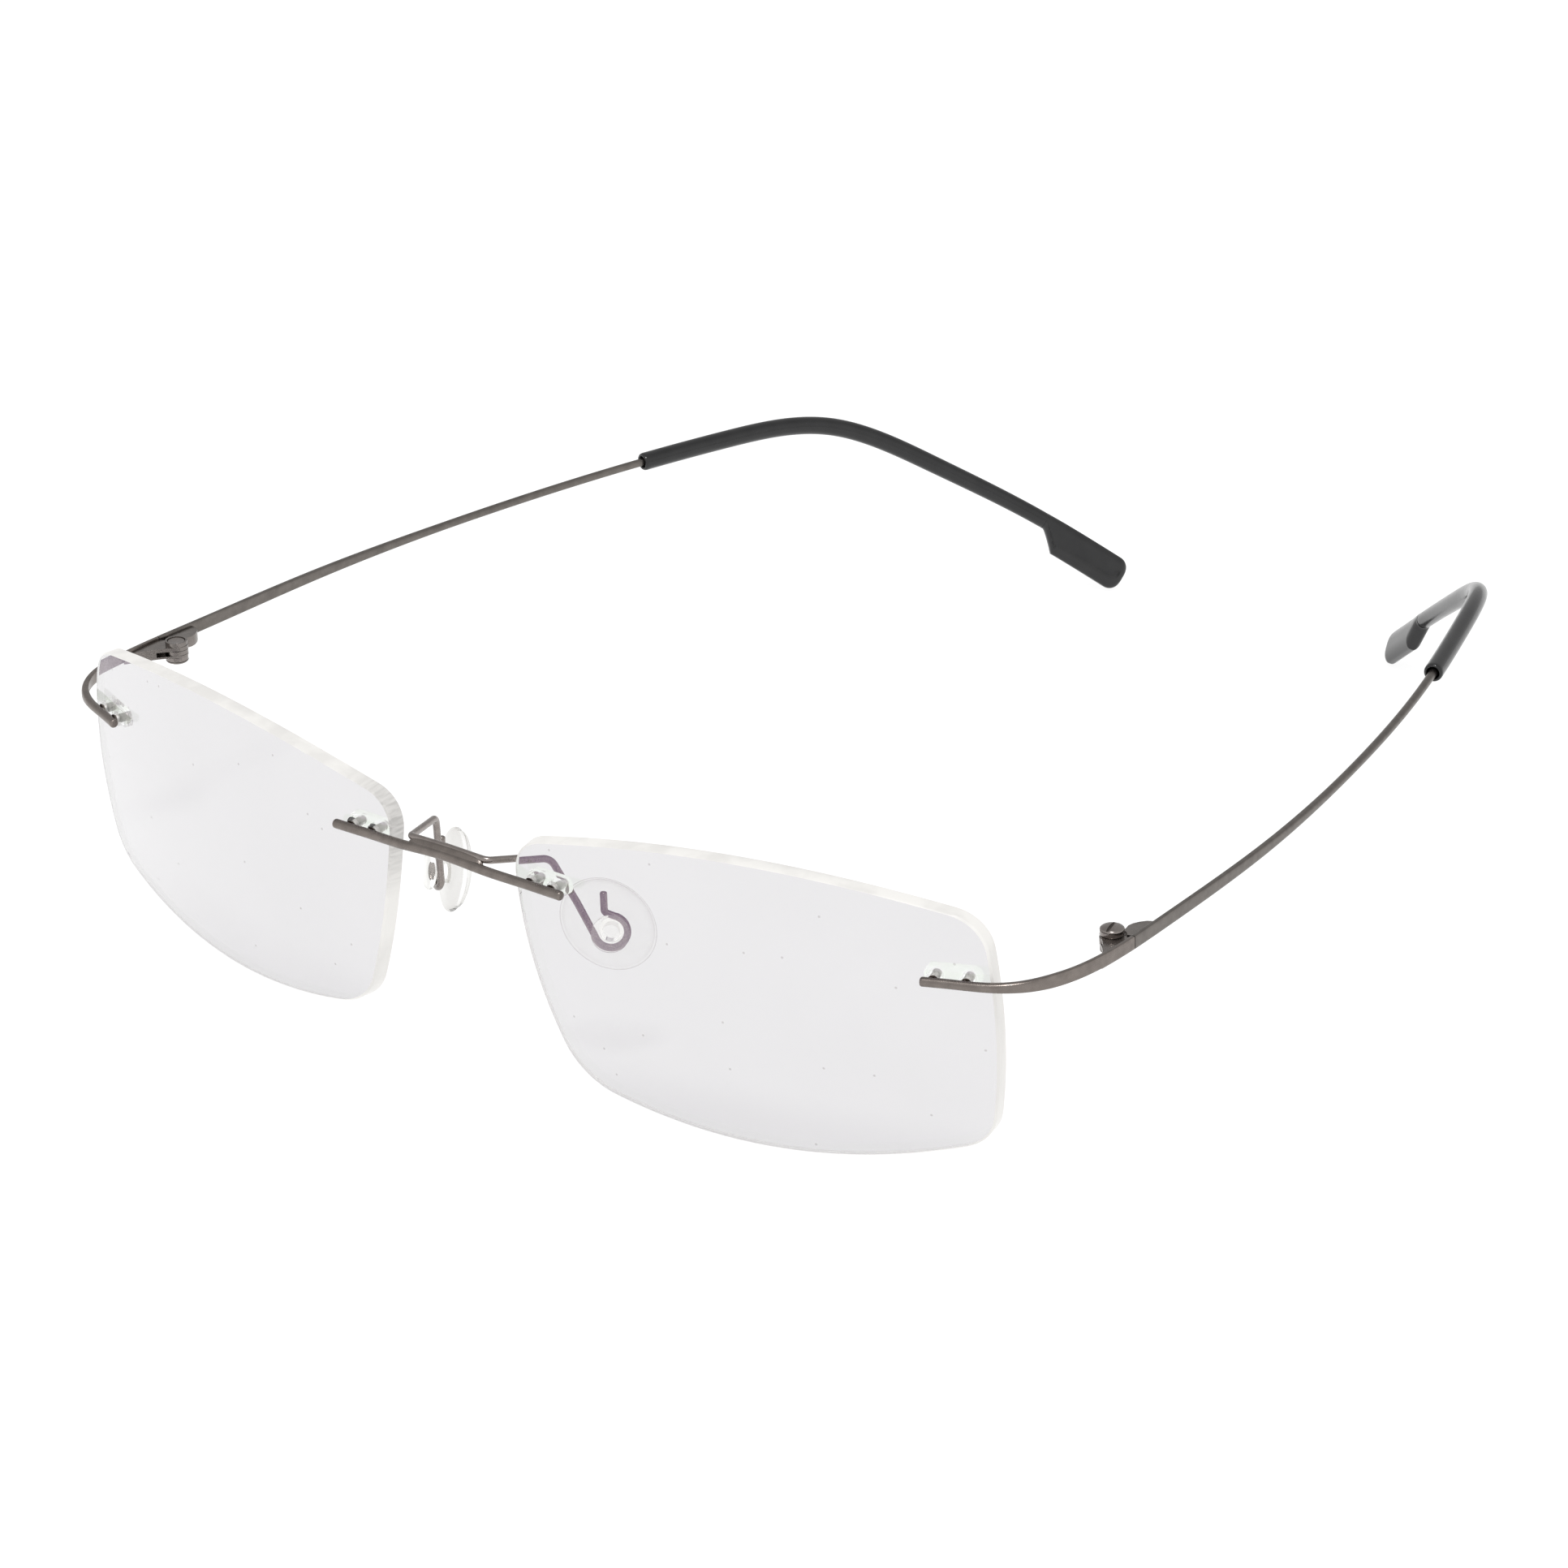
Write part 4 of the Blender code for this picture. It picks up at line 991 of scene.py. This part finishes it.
def solder_piece():
    """Fillet that fills the groove between the bridge bar and the wire along its top."""
    bar, wire = bridge_path(), arm_path()
    rings = []
    for x in np.linspace(-FILLET_REACH, FILLET_REACH, FILLET_RINGS):
        low = vec([np.interp(x, bar[:, 0], bar[:, k]) for k in range(3)])
        half = wire[len(wire) // 2:] if x >= 0 else wire[:len(wire) // 2 + 1]
        high = vec([np.interp(x, half[:, 0], half[:, k]) for k in range(3)])
        fade = math.sqrt(max(1 - (abs(x) / FILLET_REACH) ** 6, 0.02))
        towards = unit(high - low)
        across = unit(np.cross((1.0, 0.0, 0.0), towards))
        section = oval(FILLET_HALF_THICK * fade, FILLET_HALF_HEIGHT * fade, 4, ROUND_POINTS)
        rings.append(ring_at((low + high) / 2, across, towards, section))
    return mesh_from_rings(rings)


def bridge_piece():
    """Bridge bar with round ends, and the solder on it."""
    path, radii = rounded_ends(bridge_path(), BAR_RADIUS)
    bar = mesh_from_rings(guided_rings(path, (0, 0, 1), [disc(r, ROUND_POINTS) for r in radii]))
    return joined([bar, solder_piece()])


def arm_piece():
    path, radii = rounded_ends(arm_path(), ARM_RADIUS)
    return mesh_from_rings(rolling_rings(path, radii, ARM_POINTS))


def end_piece():
    """Wire from its domed tip on the lens, round the corner, to the seam at the hinge."""
    line = temple_line(24)
    path = between(line, line[0, 1] - 1, SEAM_Y)
    longer, radii = rounded_ends(path, END_BAR_RADIUS, False)
    dome = [disc(radius, ROUND_POINTS) for radius in radii[:len(DOME_ANGLES)]]
    sections = dome + [wire_section(p[1], ROUND_POINTS) for p in path]
    return mesh_from_rings(guided_rings(longer, (0, 0, 1), sections))


def temple_piece():
    """Wire from the seam at the hinge to the end of its core in the ear tip."""
    path = between(temple_line(16), SEAM_Y + SEAM_GAP, CORE_END_Y)
    return mesh_from_rings(guided_rings(path, (0, 0, 1), [wire_section(p[1], ROUND_POINTS) for p in path]))


def points_at(path, spots):
    """Points at the given distances along the path."""
    run = run_along(path)
    return np.stack([np.interp(spots, run, path[:, k]) for k in range(3)], axis=1)


def tip_outside(line):
    """Rings of the ear tip from the paddle's end to the mouth, closest at the end and the shoulder."""
    outer = between(line, MOUTH_Y, line[-1, 1])[::-1]
    length = run_along(outer)[-1]
    shoulder = PADDLE_LENGTH - PADDLE_SHOULDER - TIP_STEP
    shoulder_end = PADDLE_LENGTH + 4 * TIP_FINE_STEP
    spots = list(PADDLE_ROUND * (1 - np.cos(np.linspace(0.15, math.pi / 2, 10))))
    spots += list(np.arange(PADDLE_ROUND + TIP_FINE_STEP, shoulder, TIP_STEP))
    spots += list(np.arange(shoulder, shoulder_end, TIP_FINE_STEP))
    spots += list(np.arange(shoulder_end, length - 2 * TIP_STEP, TIP_STEP)) + [length - 4 * TIP_FINE_STEP]
    sections = [paddle_section(spot, TIP_POINTS) for spot in spots]
    sections += [disc(TIP_RADIUS - trim, TIP_POINTS) for _, trim in MOUTH_ROLL]
    spots += [length - before for before, _ in MOUTH_ROLL]
    return guided_rings(points_at(outer, spots), PADDLE_SIDE, sections)


def tip_inside(line):
    """Rings of the ear tip's bore: a wider counterbore at the mouth, then a close fit on the wire."""
    bore = between(line, MOUTH_Y, CORE_END_Y + TIP_BORE_PAST_CORE)
    spots = [0.0, 0.1, TIP_COUNTERBORE, TIP_COUNTERBORE + 0.4]
    spots += [depth for depth in run_along(bore) if depth > TIP_COUNTERBORE + 1]
    radii = [TIP_MOUTH_BORE + 0.08] + [TIP_MOUTH_BORE] * 2 + [TIP_BORE] * (len(spots) - 3)
    sections = [disc(radius, TIP_POINTS) for radius in radii[::-1]]
    return guided_rings(points_at(bore, spots)[::-1], PADDLE_SIDE, sections)[::-1]


def tip_piece():
    """Black tube over the temple's core, flattened into a paddle at its end."""
    line = temple_line(20)
    return mesh_from_rings(tip_outside(line) + tip_inside(line))


# ---- hinges ----

def hinge_front_piece(flip):
    """Forked half with its boss; flip is 1 with the screw's head on top and -1 with it underneath."""
    middle = HINGE[2] - flip * HINGE_DROP
    heel = beside_band(FRONT_HALF_Y)
    outline = [heel, beside_band(SLOT_START_Y), beside_band(SEAM_Y - SEAM_GAP)]
    outline += hinge_arc(KNUCKLE_RADIUS, *FRONT_HALF_ARC)
    outline += list(FRONT_HALF_SIDE) + [(heel[0] - FRONT_HALF_TOE, heel[1])]
    body = prism(outline, middle - HINGE_HALF_HEIGHT, middle + HINGE_HALF_HEIGHT)
    boss_face = middle - flip * (HINGE_HALF_HEIGHT + BOSS_HEIGHT)
    body = fused(body, hinge_disc(BOSS_RADIUS, boss_face, middle - flip * SLOT_HALF_HEIGHT))
    slot = box_outline(HINGE[0] - CUT_PAST, SLOT_START_Y, HINGE[0] + CUT_PAST, HINGE[1] + CUT_PAST)
    slot = prism(slot, *slot_levels(middle, flip, SLOT_HALF_HEIGHT))
    recess_floor = boss_face + flip * (PEEN_SINK + PEEN_THICK)
    recess = hinge_disc(PEEN_RADIUS + HINGE_GAP, boss_face - flip * CUT_PAST, recess_floor)
    return cut(body, slot, screw_bore(middle), recess)


def hinge_temple_piece(flip):
    """Half with the single tongue that turns in the fork."""
    middle = HINGE[2] - flip * HINGE_DROP
    block = [beside_band(y) for y in REAR_HALF_Y] + list(REAR_HALF_LUMP)
    block += hinge_arc(KNUCKLE_RADIUS + REAR_HALF_CLEARANCE, *REAR_HALF_ARC)
    body = prism(block, middle - HINGE_HALF_HEIGHT, middle + HINGE_HALF_HEIGHT)
    tongue = hinge_arc(KNUCKLE_RADIUS, *TONGUE_ARC) + list(TONGUE_NECK)
    tongue = prism(tongue, *slot_levels(middle, flip, TONGUE_HALF_HEIGHT))
    return cut(fused(body, tongue), screw_bore(middle))


def hinge_screw_piece(flip):
    """Screw from its dished, peened end to its slotted dome."""
    seat = HINGE_HALF_HEIGHT + HINGE_GAP
    end = PEEN_SINK - HINGE_HALF_HEIGHT - BOSS_HEIGHT
    floor = end + PEEN_THICK - HINGE_GAP
    rim = seat + SCREW_HEAD_SIDE
    peen = [(0.2, end + 0.06), (PEEN_RADIUS - 0.25, end + 0.03), (PEEN_RADIUS - 0.08, end),
            (PEEN_RADIUS, end + 0.05), (PEEN_RADIUS, floor)]
    shank = [(SCREW_RADIUS, floor), (SCREW_RADIUS, seat)]
    side = [(SCREW_HEAD - 0.04, seat), (SCREW_HEAD - 0.02, seat + 0.05), (SCREW_HEAD - 0.02, rim - 0.08)]
    groove = [(SCREW_HEAD - 0.08, rim - 0.06), (SCREW_HEAD - 0.08, rim - 0.03), (SCREW_HEAD, rim)]
    dome = [(SCREW_HEAD * math.cos(angle), rim + SCREW_HEAD_DOME * math.sin(angle))
            for angle in np.radians(np.linspace(10, 84, 10))]
    body = lathe(peen + shank + side + groove + dome, SCREW_POINTS)
    top = rim + SCREW_HEAD_DOME
    slot = box_outline(-CUT_PAST, -SCREW_SLOT / 2, CUT_PAST, SCREW_SLOT / 2)
    body = cut(body, prism(slot, top - SCREW_SLOT_DEPTH, top + CUT_PAST))
    turn = Matrix.Rotation(SCREW_TURN, 4, "Z")
    if flip < 0:
        turn = Matrix.Rotation(math.pi, 4, "X") @ turn
    centre = Matrix.Translation(Vector(HINGE) - Vector((0, 0, flip * HINGE_DROP)))
    bmesh.ops.transform(body, matrix=centre @ turn, verts=body.verts)
    return body


# ---- nose pads ----

def pad_piece():
    """Soft oval pad: a socket in a dished back, a rounded lip and a crowned front."""
    centre, cross_way, long_way, normal = loop_frame()
    circle = disc(1.0, PAD_POINTS)
    turn = np.array([[math.cos(PAD_TURN), -math.sin(PAD_TURN)], [math.sin(PAD_TURN), math.cos(PAD_TURN)]])
    oval_rim = circle * (PAD_HALF_WIDTH, PAD_HALF_LENGTH) @ turn
    socket = circle * SOCKET_RADIUS
    middle = np.array(PAD_OFFSET)
    levels = [(socket, PAD_BACK + SOCKET_DEPTH), (socket, PAD_BACK + SOCKET_EASE),
              (circle * SOCKET_LIP, PAD_BACK)]
    for share in np.linspace(PAD_FLAT, PAD_LIP, 8):
        rise = (share - PAD_FLAT) / (PAD_LIP - PAD_FLAT)
        levels.append((middle + oval_rim * share, PAD_BACK + 0.02 + PAD_LIP_RISE * rise ** 2))
    for angle in np.radians(np.linspace(-70, 80, 9)):
        share = PAD_LIP + (1 - PAD_LIP) * math.cos(angle)
        levels.append((middle + oval_rim * share, PAD_EDGE + 0.08 + 0.28 * math.sin(angle)))
    for share in np.linspace(0.9, 0.12, 12):
        dome = math.sqrt(1 - (share / PAD_CROWN) ** 2)
        levels.append((middle + oval_rim * share, PAD_SHOULDER + (PAD_FRONT - PAD_SHOULDER) * dome ** 1.1))
    rings = [[centre + cross_way * x + long_way * y + normal * depth for x, y in flat]
             for flat, depth in levels]
    return mesh_from_rings(rings, (True, False))


def button_piece():
    """Hard insert: a rimmed button behind the wire loop, a stem, and a foot in the pad's socket."""
    foot_near, foot_far = PAD_BACK + SOCKET_EASE, PAD_BACK + SOCKET_DEPTH - SOCKET_EASE
    profile = [(BUTTON_RIM - 0.25, -BUTTON_FAR), (BUTTON_RIM - 0.06, -BUTTON_FAR + 0.07),
               (BUTTON_RIM, -BUTTON_FAR + 0.2), (BUTTON_RIM, -BUTTON_NEAR - 0.22),
               (BUTTON_RIM - 0.06, -BUTTON_NEAR - 0.15), (BUTTON_RADIUS, -BUTTON_NEAR - 0.04),
               (BUTTON_RADIUS - 0.08, -BUTTON_NEAR), (STEM_RADIUS + 0.1, -BUTTON_NEAR),
               (STEM_RADIUS, -BUTTON_NEAR + 0.1), (STEM_RADIUS, foot_near),
               (FOOT_RADIUS, foot_near), (FOOT_RADIUS, foot_far)]
    return placed(lathe(profile, BUTTON_POINTS), *loop_frame())


# ---- assembly ----

def build_front(metal, thin, hinge, screw, glass, clear, bright):
    add_piece("bridge_bar_look", bridge_piece(), metal, 1, "front", "bridge_bar")
    add_piece("pad_arm_wire_look", arm_piece(), thin, 1, "front", "pad_arm_wire")
    for name, side in SIDES:
        lens = add_piece(f"lens_look_{name}", lens_piece(), glass, side, "front", f"lens_{name}")
        true_lens_normals(lens, side)
        for place, mount, bar in MOUNTS:
            add_piece(f"sleeve_look_{place}_{name}", sleeve_piece(mount), clear, side, "front",
                      f"lens_sleeve_{place}_{name}")
            for end in (0, 1):
                add_piece(f"post_look_{place}_{name}_{end + 1}", post_piece(mount, end, bar), bright, side,
                          "front", f"lens_post_{place}_{name}_{end + 1}")
        add_piece(f"end_piece_look_{name}", end_piece(), metal, side, "front", f"end_piece_{name}")
        add_piece(f"hinge_front_look_{name}", hinge_front_piece(side), hinge, side, "front",
                  f"hinge_front_{name}", bevel=HINGE_EDGE)
        add_piece(f"hinge_screw_look_{name}", hinge_screw_piece(side), screw, side, "front",
                  f"hinge_screw_{name}")


def build_temples(metal, hinge, black):
    for name, side in SIDES:
        body = f"temple_body_{name}"
        add_piece(f"temple_look_{name}", temple_piece(), metal, side, body, f"temple_{name}")
        add_piece(f"hinge_temple_look_{name}", hinge_temple_piece(side), hinge, side, body,
                  f"hinge_temple_{name}", bevel=HINGE_EDGE)
        add_piece(f"temple_tip_look_{name}", tip_piece(), black, side, body, f"temple_tip_{name}")


def build_nose_pads(silicone, clear):
    for name, side in SIDES:
        body = f"nose_pad_body_{name}"
        add_piece(f"nose_pad_look_{name}", pad_piece(), silicone, side, body, f"nose_pad_{name}")
        add_piece(f"pad_button_look_{name}", button_piece(), clear, side, body, f"pad_button_{name}")


# ---- floor, light and camera ----

def build_floor():
    """Plain white table top."""
    bm = bmesh.new()
    bmesh.ops.create_grid(bm, x_segments=8, y_segments=8, size=FLOOR_HALF_SIZE)
    data = bpy.data.meshes.new("floor")
    bm.to_mesh(data)
    bm.free()
    material, _, shader = new_material("pale_floor")
    settle(shader, Base_Color=(0.2, 0.2, 0.2, 1), Roughness=0.9, Specular_IOR_Level=0.0,
           Emission_Color=(*WHITE, 1), Emission_Strength=0.9)
    data.materials.append(material)
    floor = scene_object("floor", data)
    floor.location = (0, 0, -FLOOR_DROP)


def build_light():
    """White tent, dimmer overhead and behind the glasses, with a small bright softbox high in front."""
    world = bpy.data.worlds.new("tent")
    bpy.context.scene.world = world
    world.use_nodes = True
    tree = world.node_tree
    tent = tree.nodes["Background"]
    towards = add_node(tree, "ShaderNodeVectorMath", operation="DOT_PRODUCT")
    feed(towards, 0, add_node(tree, "ShaderNodeTexCoord").outputs["Generated"])
    towards.inputs[1].default_value = DIM_DIRECTION
    feed(tent, "Color", ramp(tree, towards.outputs["Value"], WHITE, (0.62, 0.62, 0.62), 0.15, 0.75))
    settle(tent, Strength=1.0)
    data = bpy.data.lights.new("key", "AREA")
    data.shape = "DISK"
    data.size = KEY_SIZE
    data.energy = KEY_POWER
    lamp = scene_object("key", data)
    lamp.location = KEY_PLACE
    lamp.rotation_euler = (-Vector(KEY_PLACE)).to_track_quat("-Z", "Y").to_euler()


def build_camera():
    """Long lens that looks down at the glasses from high in front of the +X side, for a square frame."""
    data = bpy.data.cameras.new("view")
    data.sensor_width = 36.0
    data.lens = CAMERA_LENS
    data.clip_start = 0.01
    camera = scene_object("view", data)
    axes = Matrix((CAMERA_RIGHT, CAMERA_UP, CAMERA_BACK)).transposed()
    tip = Matrix.Rotation(-REST_PITCH, 3, "X")
    place = (tip @ Vector(CAMERA_PLACE) + Vector(REST_SHIFT)) * MM
    camera.matrix_world = Matrix.Translation(place) @ (tip @ axes).to_4x4()
    bpy.context.scene.camera = camera
    bpy.context.scene.view_settings.view_transform = "Standard"


def main():
    satin = gunmetal("gunmetal_satin", (0.165, 0.150, 0.138), 0.34, strength=0.12)
    metal = gunmetal("gunmetal_wire", (0.200, 0.175, 0.160), 0.27)
    thin = gunmetal("gunmetal_thin", (0.270, 0.240, 0.225), 0.25)
    hinge = gunmetal("gunmetal_hinge", (0.215, 0.195, 0.182), 0.25, 6000.0)
    screw = gunmetal("gunmetal_polished", (0.25, 0.225, 0.212), 0.2, 4000.0, 0.05)
    bright = (metal, gunmetal("bright_post", (0.88, 0.86, 0.84), 0.45, 6000.0, 0.05))
    wall = hole_wall("hole_wall")
    glass = (lens_glass("coated_lens_front", True), lens_edge("lens_rim"), wall,
             lens_glass("coated_lens_back", False))
    clear = (clear_plastic("clear_plastic", (0.95, 0.97, 0.95), 1.08, 0.1, 0.95), wall)
    hard = clear_plastic("hard_insert", (0.92, 0.915, 0.905), 1.06, 0.09, 0.66)
    build_front(metal, thin, hinge, screw, glass, clear, bright)
    build_temples(satin, hinge, black_rubber("black_rubber"))
    build_nose_pads(soft_silicone("silicone"), hard)
    build_floor()
    build_light()
    build_camera()


main()
